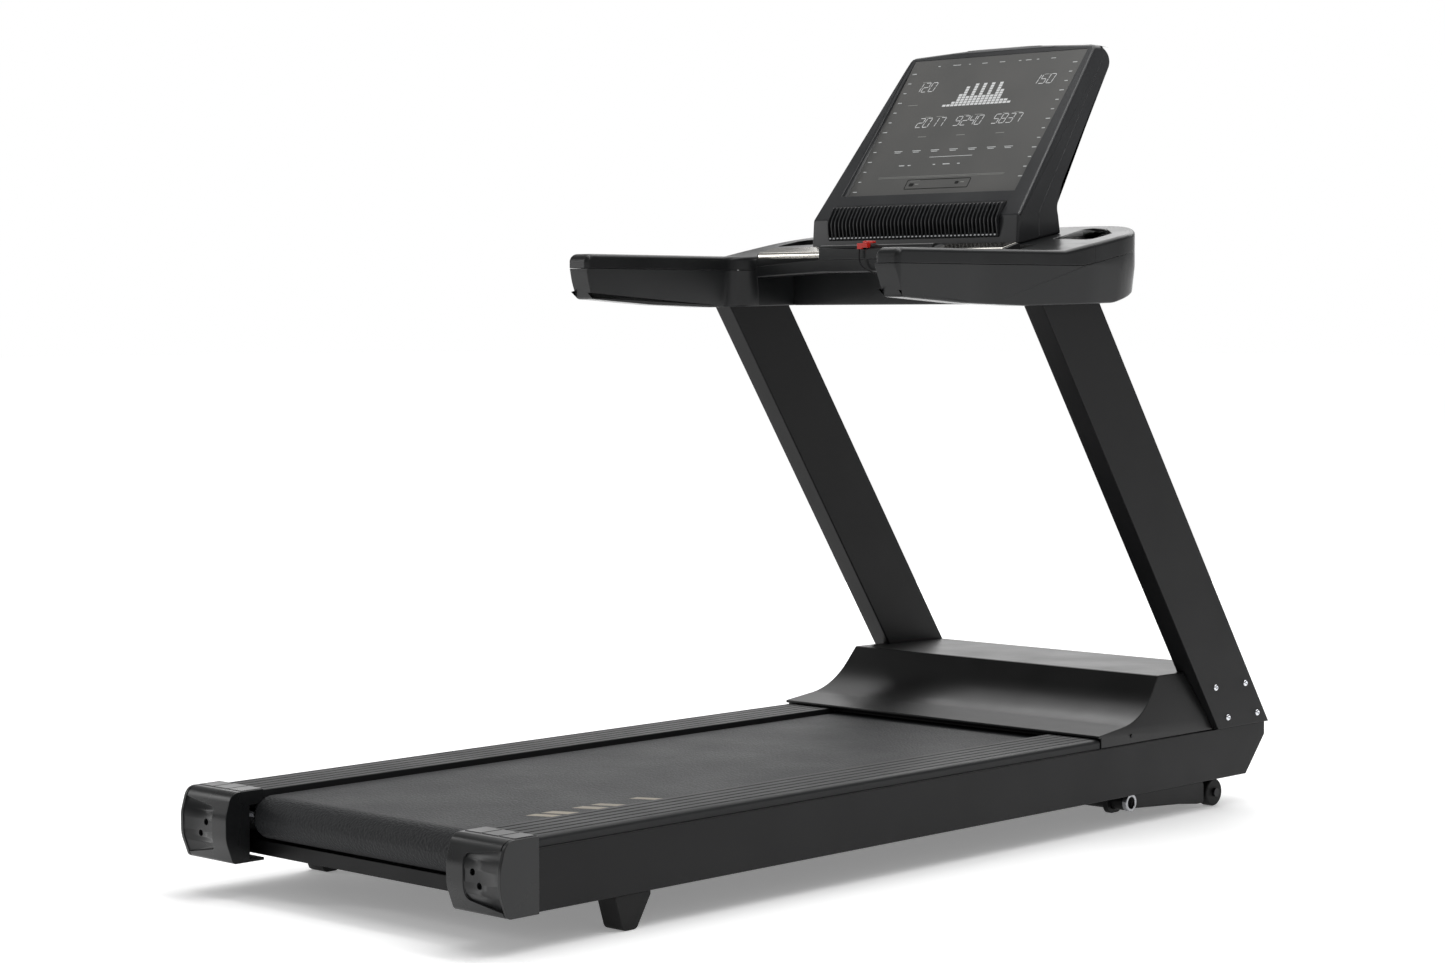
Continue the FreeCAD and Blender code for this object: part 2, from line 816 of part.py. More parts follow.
def bay_covers():
    """The belly pan under the motor bay and the cover that closes its front."""
    half = at.frame_half - at.frame_depth
    low = at.frame_bottom + at.frame_wall
    pan = box("pan_plate", (-342, 342), (at.front_roller_y + 40, at.frame_front - 74), (low, low + at.pan_thick))
    slot = box("pan_slot", (at.lift_x - 26, at.lift_x + 26), (pivot_y - 48, pivot_y + 48), (low - 1, low + 9))
    node("belly_pan", cut("belly_pan", pan, slot))
    nose = at.frame_front - at.frame_wall - 1
    cover = pad("front_cover_plate", "YZ_Plane", -half, half, [
        (at.frame_front - 73, low),
        (at.frame_front - 73, low + 3),
        (nose - 4, at.frame_top - 24),
        (nose - 4, at.frame_top),
        (nose, at.frame_top),
        (nose, at.frame_top - 26),
        (at.frame_front - 70, low),
    ])
    inlet = box("inlet_hole", (-301, -269), (nose - 6, nose + 2), (at.frame_top - 22, at.frame_top - 2))
    switch = box("switch_hole", (-250.5, -229.5), (nose - 6, nose + 2), (at.frame_top - 18, at.frame_top - 4))
    node("front_cover", cut("front_cover", cover, inlet, switch))
    body = box("inlet_body", (-300.9, -269.1), (nose - 30, nose + 1), (at.frame_top - 21.9, at.frame_top - 2.1))
    socket = box("inlet_socket", (-297, -273), (nose - 16, nose + 2), (at.frame_top - 18, at.frame_top - 6))
    node("power_inlet", cut("power_inlet", body, socket))
    rocker = pad("power_switch", "YZ_Plane", -250, -230, [
        (nose - 4, at.frame_top - 16.5, 1),
        (nose + 1.5, at.frame_top - 16.5, 1),
        (nose + 0.5, at.frame_top - 11),
        (nose + 3, at.frame_top - 5.5, 1),
        (nose - 4, at.frame_top - 5.5, 1),
    ])
    node("power_switch", rocker)


# ---------------------------------------------------------------- drive

def drive():
    """Motor, bracket, shaft with flywheel, both pulleys, ribbed belt and controller."""
    start = at.motor_inner
    bored = at.shaft_radius + at.fit_gap
    end = at.motor_inner + at.motor_length
    node("drive_motor", turned("drive_motor", [
        (start, bored), (start, at.motor_radius - 8), (start + 10, at.motor_radius - 2),
        (start + 30, at.motor_radius), (end - 30, at.motor_radius),
        (end - 10, at.motor_radius - 2), (end, at.motor_radius - 8), (end, bored),
    ], at.motor_y, at.motor_z))
    low = at.frame_bottom + at.frame_wall + at.pan_thick
    reach = (at.motor_y - 65, at.motor_y + 34)
    cradle = box("motor_cradle", (start + 35, end - 35), reach, (low, at.motor_z - 30))
    barrel = rod("motor_barrel", "x", (start, at.motor_y, at.motor_z), at.motor_radius + at.fit_gap, at.motor_length)
    node("motor_bracket", cut("motor_bracket", cradle, barrel))
    wheel = end + 7
    tip = pulley_outer + 4
    radius = at.motor_pulley_radius
    node("motor_shaft", turned("motor_shaft", [
        (start - 4, 0), (start - 4, at.shaft_radius), (at.pulley_inner, at.shaft_radius),
        (at.pulley_inner, radius + 3), (at.pulley_inner + 3, radius), (pulley_outer - 3, radius),
        (pulley_outer, radius + 3), (pulley_outer, at.shaft_radius), (tip, at.shaft_radius), (tip, 0),
    ], at.motor_y, at.motor_z))
    node("flywheel", turned("flywheel", [
        (wheel, at.shaft_radius), (wheel, 54), (wheel + 24, 54), (wheel + 24, at.shaft_radius),
    ], at.motor_y, at.motor_z))
    half = roller_length / 2
    radius = at.roller_pulley_radius
    node("roller_pulley", turned("roller_pulley", [
        (half, 11), (half, 26), (at.pulley_inner, 26), (at.pulley_inner, radius + 3),
        (at.pulley_inner + 3, radius), (pulley_outer - 3, radius), (pulley_outer, radius + 3),
        (pulley_outer, 11),
    ], at.front_roller_y, roller_z))
    drive_belt()
    base = box("controller_base", (-330, -215), (1835, 1975), (low, low + 45))
    tools = []
    for number in range(7):
        y = 1845 + number * 18
        tools.append(box(f"controller_groove{number}", (-331, -214), (y, y + 10), (low + 25, low + 46)))
    node("motor_controller", cut("motor_controller", base, *tools))


def loop_wire(radius_back, radius_front):
    """The loop round two pulleys of unequal size, as a closed wire at X = 0."""
    back = FreeCAD.Vector(0, at.front_roller_y.value, roller_z.value)
    front = FreeCAD.Vector(0, at.motor_y.value, at.motor_z.value)
    along = (front - back).normalize()
    square = FreeCAD.Vector(0, -along.z, along.y)
    lean = math.asin((radius_back - radius_front) / front.distanceToPoint(back))
    upper = square * math.cos(lean) + along * math.sin(lean)
    lower = square * -math.cos(lean) + along * math.sin(lean)
    edges = [
        Part.LineSegment(back + upper * radius_back, front + upper * radius_front),
        Part.Arc(front + upper * radius_front, front + along * radius_front, front + lower * radius_front),
        Part.LineSegment(front + lower * radius_front, back + lower * radius_back),
        Part.Arc(back + lower * radius_back, back - along * radius_back, back + upper * radius_back),
    ]
    return Part.Wire([edge.toShape() for edge in edges])


def drive_belt():
    """The flat belt from the motor's pulley to the front roller's."""
    gap = at.run_gap.value
    thick = at.drive_belt_thick.value
    back = at.roller_pulley_radius.value + gap
    front = at.motor_pulley_radius.value + gap
    outer = Part.Face(loop_wire(back + thick, front + thick))
    inner = Part.Face(loop_wire(back, front))
    width = FreeCAD.Vector(at.pulley_width.value - 8, 0, 0)
    made = doc.addObject("Part::Feature", "drive_belt")
    made.Shape = outer.cut(inner).extrude(width)
    seat(made, at.pulley_inner + 4, 0, 0)
    node("drive_belt", made)


# ---------------------------------------------------------------- incline lift

def lift_frame():
    """The welded frame that lifts the machine's front: tube, two arms, lever and its pin."""
    tube = rod("lift_tube_outer", "x", (-at.pivot_half, pivot_y, at.pivot_z), at.pivot_radius, at.pivot_half * 2)
    ends = []
    for word, side in sides():
        start = at.pivot_half - 12 if side > 0 else -at.pivot_half - 1
        ends.append(rod(f"lift_bore_{word}", "x", (start, pivot_y, at.pivot_z), at.pivot_radius - 5, 13))
    parts = [cut("lift_tube_open", tube, *ends)]
    wheel_y = at.lift_wheel_y
    for word, side in sides():
        low, high = span(side, 364, 386)
        parts.append(pad(f"lift_arm_{word}", "YZ_Plane", low, high, [
            (pivot_y - 6, 27), (pivot_y + 24, 27), (pivot_y + 178, 17, 60),
            (wheel_y - 57, 10), (wheel_y - 34, 10, 6), (wheel_y - 34, 54, 8), (pivot_y - 6, 54),
        ]))
        low, high = span(side, 357, 364)
        parts.append(pad(f"lift_fork_{word}", "YZ_Plane", low, high, [
            (wheel_y - 90, 14, 4), (wheel_y - 4, 12, 10), (wheel_y + 18, 28, 14), (wheel_y - 4, 50, 14),
            (wheel_y - 90, 50, 4),
        ]))
        start = 364 if side > 0 else -386 - 3
        parts.append(rod(f"lift_axle_{word}", "x", (size(start), wheel_y, at.lift_wheel_radius), 6, 25))
    for number, offset in enumerate((-20, 14)):
        parts.append(lever_plate(f"lift_lever{number}", at.lift_x + offset))
    start = (at.lift_x - 20, pin_y, pin_z)
    parts.append(rod("lift_pin", "x", start, at.lift_pin_radius, 40))
    node("lift_frame", fuse("lift_frame", *parts))


def lever_plate(name, x):
    """One of the two lever plates that reach up from the pivot tube to the lift's pin."""
    back = sine(at.lever_angle)
    up = cosine(at.lever_angle)
    half = 13
    reach = at.lever_length + 12

    def point(along, across):
        y = pivot_y - size(along) * back + size(across) * up
        z = at.pivot_z + size(along) * up + size(across) * back
        return y, z

    return pad(name, "YZ_Plane", x, x + 6, [
        point(0, -half), (*point(reach, -half), 11), (*point(reach, half), 11), point(0, half),
    ])


def lift_drive():
    """The lift's gear motor with its screw, and the nut tube whose slotted eye holds the pin."""
    block = box("lift_gearbox", (at.lift_x - 32, at.lift_x + 32), (1852, 1930), (72, 140))
    motor = rod("lift_can", "y", (at.lift_x, 1930, 110), 27, 78)
    screw = rod("lift_screw", "y", (at.lift_x, pin_y + 88, screw_z), 7, 1853 - 88 - pin_y)
    foot = box("lift_motor_foot", (at.lift_x - 24, at.lift_x + 24), (2000, 2015), (80, 125))
    node("lift_motor", fuse("lift_motor", block, motor, screw, foot))
    eye = box("lift_eye", (at.lift_x - 8, at.lift_x + 8), (pin_y - 13, pin_y + 14), (screw_z - 18, screw_z + 18))
    tube = rod("lift_nut_barrel", "y", (at.lift_x, pin_y + 13, screw_z), 12, 98)
    solid = fuse("lift_nut_solid", eye, tube)
    reach = at.lift_pin_radius + 1.2
    slot = box("lift_slot", (at.lift_x - 9, at.lift_x + 9), (pin_y - reach, pin_y + reach),
               (screw_z - reach - 4.9, screw_z + reach + 4.9))
    thread = rod("lift_thread", "y", (at.lift_x, pin_y + 15, screw_z), 7.08, 97)
    node("lift_nut_tube", cut("lift_nut_tube", solid, slot, thread))


def pivot_hangers():
    """Plates under the side frames in which the lift frame's tube turns."""
    for word, side in sides():
        low, high = span(side, 343, at.frame_half - at.frame_depth - 0.1)
        plate = pad(f"{word}_hanger_plate", "YZ_Plane", low, high, [
            (pivot_y - 34, at.frame_bottom + 40), (pivot_y - 22, at.pivot_z - 24, 16),
            (pivot_y + 22, at.pivot_z - 24, 16), (pivot_y + 34, at.frame_bottom + 40),
        ])
        hole = rod(f"{word}_hanger_bore", "x", (low - 1, pivot_y, at.pivot_z), at.pivot_radius + at.fit_gap, 14)
        yield cut(f"{word}_hanger", plate, hole)


def lift_wheels():
    """Two wheels that carry the front of the machine, and the bolts that hold them."""
    bolts = []
    for word, side in sides():
        inner = at.lift_wheel_width + 364.5
        low, high = span(side, 364.5, inner)
        radius = at.lift_wheel_radius
        wheel = turned(f"{word}_lift_wheel", [
            (low, 6 + at.fit_gap), (low, radius - 2), (low + 2, radius), (high - 2, radius),
            (high, radius - 2), (high, 6 + at.fit_gap),
        ], at.lift_wheel_y, radius)
        node(f"{word}_lift_wheel", wheel)
        start = 389 if side > 0 else -389 - 6
        bolts.append(rod(f"{word}_wheel_bolt", "x", (size(start), at.lift_wheel_y, radius), 9, 6))
    node("wheel_bolts", group("wheel_bolts", bolts))


# ---------------------------------------------------------------- arms and console base

def shelf_plan(inset):
    """Plan view of both arms and the shelf that joins them in front of the runner."""
    half = []
    half.append((at.arm_inner + inset, at.arm_back + inset))
    half.append((at.arm_outer - inset, at.arm_back + inset, 10))
    half.append((at.arm_outer + 5 - inset, at.arm_back + 240, 900))
    half.append((at.shelf_half - inset, at.console_y - 5, 500))
    half.append((at.shelf_half - inset, at.shelf_front - inset, at.shelf_corner - inset))
    mirror = [(-point[0], *point[1:]) for point in reversed(half)]
    bar = at.bar_y + inset
    corner = 45 + size(inset)
    inner = at.arm_inner + inset
    return half + mirror + [(-inner, bar, corner), (inner, bar, corner)]


def upper_profile(drop):
    """Side view of the upper shells: flat over the arms, then rising with the console."""
    front = at.shelf_front + 20
    back = at.arm_back - 10
    seam = size(0) - 10 if drop else size(0)
    corner = 18 if not drop else 15
    return [
        (at.arm_back + (at.shell_wall if drop else 0), at.arm_seam + seam),
        (at.seam_bend, at.arm_seam + seam),
        (front, seam_at(front) + seam),
        (front, top_at(front) - drop),
        (at.top_bend, at.arm_top - drop),
        (at.arm_back + (at.shell_wall if drop else 0), at.arm_top - drop, corner),
    ]


def lower_profile(lift):
    """Side view of the lower shells: a shallow belly that climbs at the front."""
    front = at.shelf_front + 20
    seam = size(10) if lift else -at.shell_seam
    bottom = at.arm_seam - 61
    return [
        (at.arm_back - 2 + lift, at.arm_seam + seam),
        (at.arm_back + 19 + lift, bottom + lift, 8),
        (1130, bottom - 11 + lift, 300),
        (1300, bottom - 16 + lift),
        (at.top_bend, bottom - 14 + lift),
        (1550, bottom - 10 + lift, 100),
        (1640, bottom + 10 + lift, 100),
        (front, bottom + 32 + lift),
        (front, seam_at(front) + seam),
        (at.seam_bend, at.arm_seam + seam),
    ]


def shell(name, plan_name, profile):
    """The part of a plan prism that lies inside a side view."""
    wide = at.shelf_half + 20
    return common(name, plan_name, pad(name + "_profile", "YZ_Plane", -wide, wide, profile))


def shelf_prism(name, inset):
    """The plan drawn up: straight above the arms' seam, drafted inwards below it."""
    above = pad(name + "_above", "XY_Plane", at.arm_seam, at.arm_seam + 120, shelf_plan(inset))
    deep = size(90)
    narrow = shelf_plan(inset + deep * at.shell_draft)
    below = loft(name + "_below", at.arm_seam - deep, at.arm_seam, narrow, shelf_plan(inset))
    return above, fuse(name, above, below)


def on_top(edge):
    """True of an edge that runs round the upper shells' top face."""
    points = edge.discretize(5)
    high = all(abs(point.z - max(at.arm_top.value, top_at(point.y).value)) < 0.02 for point in points)
    crease = abs(points[0].y - points[-1].y) < 0.01 and abs(points[0].x - points[-1].x) > 60
    return high and not crease


def console_base():
    """Upper and lower shells of both arms, the cowl under the console and the pan beneath it."""
    above, whole = shelf_prism("shelf_outside", size(0))
    above_in, whole_in = shelf_prism("shelf_inside", at.shell_wall)
    upper = shell("upper_outside", above, upper_profile(0))
    upper = rounded("upper_soft", upper, 9, on_top)
    upper_in = shell("upper_inside", above_in, upper_profile(at.shell_wall))
    lower = shell("lower_outside", whole, lower_profile(0))
    lower_in = shell("lower_inside", whole_in, lower_profile(at.shell_wall))
    wall = at.shell_wall
    split = at.console_y - 5
    y_low = at.arm_back - 30
    z_all = (at.arm_seam - 100, at.arm_seam + 130)
    wells = [pad(f"{word}_well", "XY_Plane", 1080, 1230, cup_plan(side, 0)) for word, side in sides()]
    reach = at.upright_outer
    passage = box("tube_passage", (-reach, reach), (at.console_y + 9.5, at.console_y + 78.5), (1047.5, 1061.5))
    for word, side in sides():
        outside = span(side, at.bar_half, at.shelf_half + 10)
        inside = span(side, at.bar_half + wall, at.shelf_half + 10)
        notch = upright_shape(f"{word}_arm_notch", side, size(1), size(1010), at.upright_top + 1)
        for layer, outer, inner, end in (
            ("upper", upper, upper_in, split), ("lower", lower, lower_in, at.shelf_front + 10)
        ):
            name = f"{word}_arm_{layer}"
            zone = box(name + "_zone", outside, (y_low, end), z_all)
            room = box(name + "_room", inside, (y_low, end - wall), z_all)
            solid = common(name + "_solid", outer, zone)
            hollow = common(name + "_hollow", inner, room)
            tools = [hollow, notch, *wells, passage] if layer == "lower" else [hollow]
            node(name, cut(name, solid, *tools))
    console_cowl(upper, upper_in, split, z_all, wells)
    console_pan(wells, passage)


def cup_plan(side, inset):
    """Plan view of a cup and bottle well beside the console."""
    return [
        (side * (size(306) + inset * 1.6), size(1549) + inset),
        (side * (size(415) - inset), size(1525) + inset, 16 - inset),
        (side * (size(412) - inset), size(1600) + inset, 40),
        (side * (size(352) - inset), size(1662) - inset, 22),
        (side * (size(290) + inset * 0.4), size(1686) - inset, 14),
    ]


def console_cowl(upper, upper_in, split, z_all, wells):
    """The sloping cover in front of the bar, with two wells and the slots for the masts."""
    wall = at.shell_wall
    wide = at.shelf_half + 10
    zone = box("cowl_zone", (-wide, wide), (split, at.shelf_front + 10), z_all)
    room = box("cowl_room", (-wide, wide), (split + wall, at.shelf_front + 10), z_all)
    solid = common("cowl_solid", upper, zone)
    hollow = common("cowl_hollow", upper_in, room)
    tools = [hollow, *wells]
    for word, side in sides():
        low, high = span(side, 79.4, 120.6)
        tools.append(box(f"{word}_mast_slot", (low, high), (at.console_y + 44.4, at.console_y + 77.6), z_all))
    node("console_cowl", cut("console_cowl", solid, *tools))
    node("cup_holders", group("cup_holders", [cup_holder(word, side) for word, side in sides()]))


def cup_holder(word, side):
    """An open bucket that hangs in its well, its rim level with the cowl."""
    outer = pad(f"{word}_cup_outside", "XY_Plane", 1092, 1220, cup_plan(side, at.seat_gap))
    inner = pad(f"{word}_cup_inside", "XY_Plane", 1095, 1221, cup_plan(side, at.seat_gap + 2.5))
    low, high = span(side, 270, 430)
    slope = pad(f"{word}_cup_slope", "YZ_Plane", low, high, [
        (1500, 1080), (1720, 1080), (1720, top_at(1720)), (1500, top_at(1500)),
    ])
    bucket = cut(f"{word}_cup_bucket", outer, inner)
    return common(f"{word}_cup_holder", bucket, slope)


def console_pan(wells, passage):
    """The plain underside of the console base between the arms' lower shells."""
    wall = at.shell_wall
    half = at.bar_half
    low = at.console_y + 3
    outer = pad("pan_outside", "YZ_Plane", -half, half, lower_profile(0))
    inner = pad("pan_inside", "YZ_Plane", wall - half, half - wall, lower_profile(wall))
    zone = box("console_pan_zone", (-half, half), (low, at.shelf_front - 3), (1000, 1200))
    room = box("console_pan_room", (-half, half), (low + wall, at.shelf_front - 3 - wall), (1000, 1200))
    solid = common("console_pan_solid", outer, zone)
    hollow = common("console_pan_hollow", inner, room)
    node("console_pan", cut("console_pan", solid, hollow, *wells, passage))


def bar_profile(grow):
    """Side view of the cross bar: its top slopes up to the front."""
    back = at.bar_y + at.bar_depth + grow
    rear = at.bar_y - grow
    return [
        (rear, 1060),
        (rear, at.bar_top + grow, 7 + grow),
        (back, at.bar_top + 14 + grow, 7 + grow),
        (back, 1060),
    ]


def cross_handle():
    """The bar in front of the runner: two shells, two grip plates and the safety key's seat."""
    half = at.bar_half
    centre = at.centre_half
    core = pad("bar_core", "YZ_Plane", -half, half, bar_profile(0))
    seam = ((half, 1110.5), (centre, 1122))
    upper_front = pad("bar_upper_front", "XZ_Plane", at.bar_y - 10, at.bar_y + 70, [
        (-half, seam[0][1]), (-centre, seam[1][1]), (centre, seam[1][1]), (half, seam[0][1]),
        (half, 1170), (-half, 1170),
    ])
    lower_front = pad("bar_lower_front", "XZ_Plane", at.bar_y - 10, at.bar_y + 70, [
        (-half, 1088), (-centre, 1096), (centre, 1096), (half, 1088),
        (half, seam[0][1]), (centre, seam[1][1]), (-centre, seam[1][1]), (-half, seam[0][1]),
    ])
    upper_bar = common("bar_upper", core, upper_front)
    lower_bar = common("bar_lower", core, lower_front)
    front = at.console_y - 5
    block = pad("centre_upper", "YZ_Plane", -centre, centre, [
        (at.bar_y - 4, 1122), (at.bar_y - 4, at.bar_top + 15, 8), (front, at.bar_top + 12), (front, 1122),
    ])
    bore = rod("key_bore", "y", (at.key_x, at.bar_y - 5, 1147.5), at.key_pin_radius + at.fit_gap, 16)
    node("handle_upper", cut("handle_upper", fuse("handle_upper_solid", upper_bar, block), bore))
    belly = pad("centre_lower", "YZ_Plane", -centre, centre, [
        (at.bar_y, 1122), (at.bar_y + 12, 1096, 10), (front, 1096), (front, 1122),
    ])
    peg = rod("clip_peg", "y", (240, at.bar_y - 9, 1104), 3, 10)
    node("handle_lower", fuse("handle_lower", lower_bar, belly, peg))
    grips = []
    for word, side in sides():
        low, high = span(side, at.centre_half + 1, at.bar_half - 5)
        wrap = pad(f"{word}_grip_wrap", "YZ_Plane", low, high, [
            (at.bar_y - at.grip_thick, 1126),
            (at.bar_y - at.grip_thick, at.bar_top + at.grip_thick, 8.6),
            (at.bar_y + at.bar_depth + at.grip_thick, at.bar_top + 14 + at.grip_thick, 8.6),
            (at.bar_y + at.bar_depth + at.grip_thick, 1138),
        ])
        grips.append(cut(f"{word}_grip", wrap, core))
    node("pulse_grips", group("pulse_grips", grips))


# ---------------------------------------------------------------- console head

def head_profile(inset):
    """Side view of the console: upright skirt, sloping face, thick back."""
    low = size(0) - (20 if inset else 0)
    top_y, top_z = face_point(at.face_length + 18 - inset, -size(inset))
    back_y, back_z = face_point(at.face_length + 18, 0)
    knee_y, knee_z = face_point(0, -size(inset))
    return [
        (at.console_y + inset, top_at(at.console_y) + low),
        (knee_y, knee_z, 12),
        (top_y, top_z, 10),
        (back_y + 42 - inset * 1.4, back_z - 41 - inset * 0.25, 24),
        (at.knee_y + 122 - inset * 1.1, at.knee_z + 20 + inset * 0.3, 30),
        (at.knee_y + 132 - inset, top_at(at.knee_y + 132) + low),
    ]


def head_front(name, inset):
    """The console's side view narrowed to its front view, with a bowed top edge."""
    half = at.head_half - inset
    top = at.head_top_half - inset
    high = at.knee_z + 348 - inset
    body = pad(name + "_side", "YZ_Plane", -half - 5, half + 5, head_profile(inset))
    front = pad(name + "_view", "XZ_Plane", at.console_y - 30, at.knee_y + 360, [
        (-half, 1100), (half, 1100), (half, at.knee_z), (top, high, 14), (0, high + 13, 2400),
        (-top, high, 14), (-half, at.knee_z),
    ])
    return common(name, body, front)


def head_split(name, forward):
    """The space on the runner's side of the console's seam, or beyond it."""
    edge = at.console_y - 40
    if forward:
        edge = at.knee_y + 420
    return pad(name, "YZ_Plane", -300, 300, [
        (edge, 1100), (at.knee_y + 66, 1100), (at.knee_y + 62, at.knee_z + 2.5),
        (at.knee_y + 308, at.knee_z + 326.5), (at.knee_y + 312, 1620), (edge, 1620),
    ])


def console_head():
    """Front and back shells, the display's glass, the fan's grille and what is inside."""
    outer = head_front("head_outside", 0)
    inner = head_front("head_inside", at.head_wall)
    hollow = cut("head_shell", outer, inner)
    near = head_split("head_near", False)
    far = head_split("head_far", True)
    glass_half = at.glass_half
    recess = pad("glass_recess", "YZ_Plane", -glass_half, glass_half, [
        face_point(at.glass_low, 20), face_point(at.glass_high, 20),
        face_point(at.glass_high, -at.glass_thick - 0.5), face_point(at.glass_low, -at.glass_thick - 14),
    ])
    window = box("grille_window", (-222, 222), (at.console_y - 20, at.console_y + 60), (1163, 1232))
    ledge = pad("glass_ledge", "YZ_Plane", -glass_half - 4, glass_half + 4, [
        face_point(at.glass_low - 5, -1), face_point(at.glass_high + 4, -1),
        face_point(at.glass_high + 4, -at.glass_thick - 4.5), face_point(at.glass_low - 5, -at.glass_thick - 18),
    ])
    bezel = fuse("head_bezel", common("head_front_half", hollow, near), common("head_ledge", outer, ledge))
    node("console_front_shell", cut("console_front_shell", bezel, recess, window))
    slots = []
    for word, side in sides():
        low, high = span(side, 79, 121)
        slots.append(box(f"{word}_head_slot", (low, high), (at.console_y + 40, at.console_y + 80), (1130, 1180)))
    node("console_back_shell", cut("console_back_shell", common("head_back_half", hollow, far), *slots))
    gap = at.seat_gap
    node("display_glass", pad("display_glass", "YZ_Plane", gap - glass_half, glass_half - gap, [
        face_point(at.glass_low + gap, -14), face_point(at.glass_high - gap, -0.5),
        face_point(at.glass_high - gap, -at.glass_thick - 0.4),
        face_point(at.glass_low + gap, -at.glass_thick - 13.9),
    ]))
    fan_grille()
    node("fan_rotor", turned("fan_rotor", [
        (-79.7, 0), (-79.7, 3), (-60, 3), (-60, 20), (60, 20), (60, 3), (79.7, 3), (79.7, 0),
    ], at.console_y + 52, at.knee_z - 16))
    console_frame()


def fan_grille():
    """Upright fins that bulge out of the console under the display, on two rails."""
    fins = []
    count = 45
    for number in range(count):
        x = (size(number) - (count - 1) / 2) * at.fin_pitch - at.fin_thick / 2
        fins.append(pad(f"fin{number}", "YZ_Plane", x, x + at.fin_thick, [
            (at.console_y + 9, 1164),
            (at.console_y - 2, 1164, 3),
            (at.console_y - 8, 1200, 30),
            (at.console_y + 12, 1231, 6),
            (at.console_y + 24, 1231),
            (at.console_y + 11, 1200, 30),
        ]))
    low = box("grille_low_rail", (-221.5, 221.5), (at.console_y + 3, at.console_y + 9), (1163.3, 1170))
    high = box("grille_high_rail", (-221.5, 221.5), (at.console_y + 17, at.console_y + 24), (1224, 1231.5))
    middle = box("grille_mid_rail", (-221.5, 221.5), (at.console_y + 5, at.console_y + 10), (1195, 1199))
    node("fan_grille", fuse("fan_grille", low, high, middle, *fins))


def console_frame():
    """A cross tube between the uprights with two masts that carry the console head."""
    reach = at.upright_outer - at.upright_thick
    parts = [box("frame_tube", (-reach, reach), (at.console_y + 10, at.console_y + 78), (1048, 1061))]
    for word, side in sides():
        low, high = span(side, 80, 120)
        parts.append(pad(f"{word}_mast", "YZ_Plane", low, high, [
            (at.console_y + 45, 1055), (at.console_y + 77, 1055), (at.console_y + 77, 1195),
            (at.console_y + 182, 1338), (at.console_y + 164, 1350), (at.console_y + 45, 1200),
        ]))
    node("console_frame", fuse("console_frame", *parts))


# ---------------------------------------------------------------- safety key and cord

def safety_key():
    """A red pull key on the front of the bar: a block, a finger ring, a pin and a cord eye."""
    front = at.bar_y - 4 - at.seat_gap
    x = at.key_x
    body = box("key_body", (x - 8, x + 8), (front - 10, front), (1144, 1153))
    pin = rod("key_pin", "y", (x, front - 1, 1147.5), at.key_pin_radius, 13)
    loop = doc.addObject("Part::Torus", "key_loop")
    bind(loop, "Radius1", 11)
    bind(loop, "Radius2", 2.3)
    seat(loop, x + 8, front - 3, 1155)
    eye = box("key_eye", (x - 19, x - 7), (front - 10, front - 4), (1141.5, 1153))
    node("safety_key", fuse("safety_key", body, pin, loop, eye))


CORD_Y = 1364
CORD_ROUTE = (
    (-33, 1141.5), (-34, 1130), (-33, 1116), (-25, 1105), (-8, 1098), (14, 1092), (44, 1086.5),
    (80, 1081), (120, 1077), (160, 1074.5), (196, 1070), (222, 1069), (236, 1073), (240, 1084),
)


def rounded_path(points):
    """Straight runs joined by tangent arcs, each as large as its two runs allow."""
    edges = []
    start = points[0]
    radii = []
    for before, corner, after in zip(points, points[1:], points[2:]):
        first = before - corner
        second = after - corner
        shorter = min(first.Length, second.Length)
        turn = math.pi - first.getAngle(second)
        radius = 0.45 * shorter / math.tan(turn / 2)
        entry, middle, leave = corner_arc(before, corner, after, radius)
        edges.append(Part.LineSegment(start, entry).toShape())
        edges.append(Part.Arc(entry, middle, leave).toShape())
        start = leave
        radii.append(round(radius, 1))
    edges.append(Part.LineSegment(start, points[-1]).toShape())
    print("cord bend radii", radii)
    return Part.Wire(edges)


def lanyard():
    """The thin cord from the safety key, sagging to a clip parked on a peg under the bar."""
    route = [FreeCAD.Vector(x, CORD_Y, z) for x, z in CORD_ROUTE]
    path = rounded_path(route)
    start = route[0]
    circle = Part.Circle(start, route[1] - route[0], at.cord_radius.value)
    section = Part.Wire([circle.toShape()])
    made = doc.addObject("Part::Feature", "lanyard")
    made.Shape = path.makePipeShell([section], True, True)
    volume = math.pi * at.cord_radius.value ** 2 * path.Length
    print("cord length", round(path.Length, 1), "volume ratio", round(made.Shape.Volume / volume, 4))
    seat(made, 0, 0, 0)
    node("lanyard", made)
    plate = box("clip_plate", (234, 246), (CORD_Y - 2, CORD_Y + 3), (1084, 1112))
    hole = rod("clip_hole", "y", (240, CORD_Y - 3, 1104), 3.3, 8)
    node("lanyard_clip", cut("lanyard_clip", plate, hole))


# ---------------------------------------------------------------- the whole machine

def build():
    """Draw every sub-part."""
    for word, side in sides():
        side_frame(word, side)
        foot_rail(word, side)
        end_cap(word, side)
        rear_foot(word, side)
        upright(word, side)
    node("riser_plates", group("riser_plates", [riser(word, side) for word, side in sides()]))
    crossmembers()
    deck()
    running_belt()
    roller("rear", at.rear_roller_y)
    roller("front", at.front_roller_y)
    body_screws(axle_blocks())
    upright_bolts()
    motor_hood()
    bay_covers()
    drive()
    node("pivot_hangers", group("pivot_hangers", list(pivot_hangers())))
    lift_frame()
    lift_drive()
    lift_wheels()
    console_base()
    cross_handle()
    console_head()
    safety_key()
    lanyard()


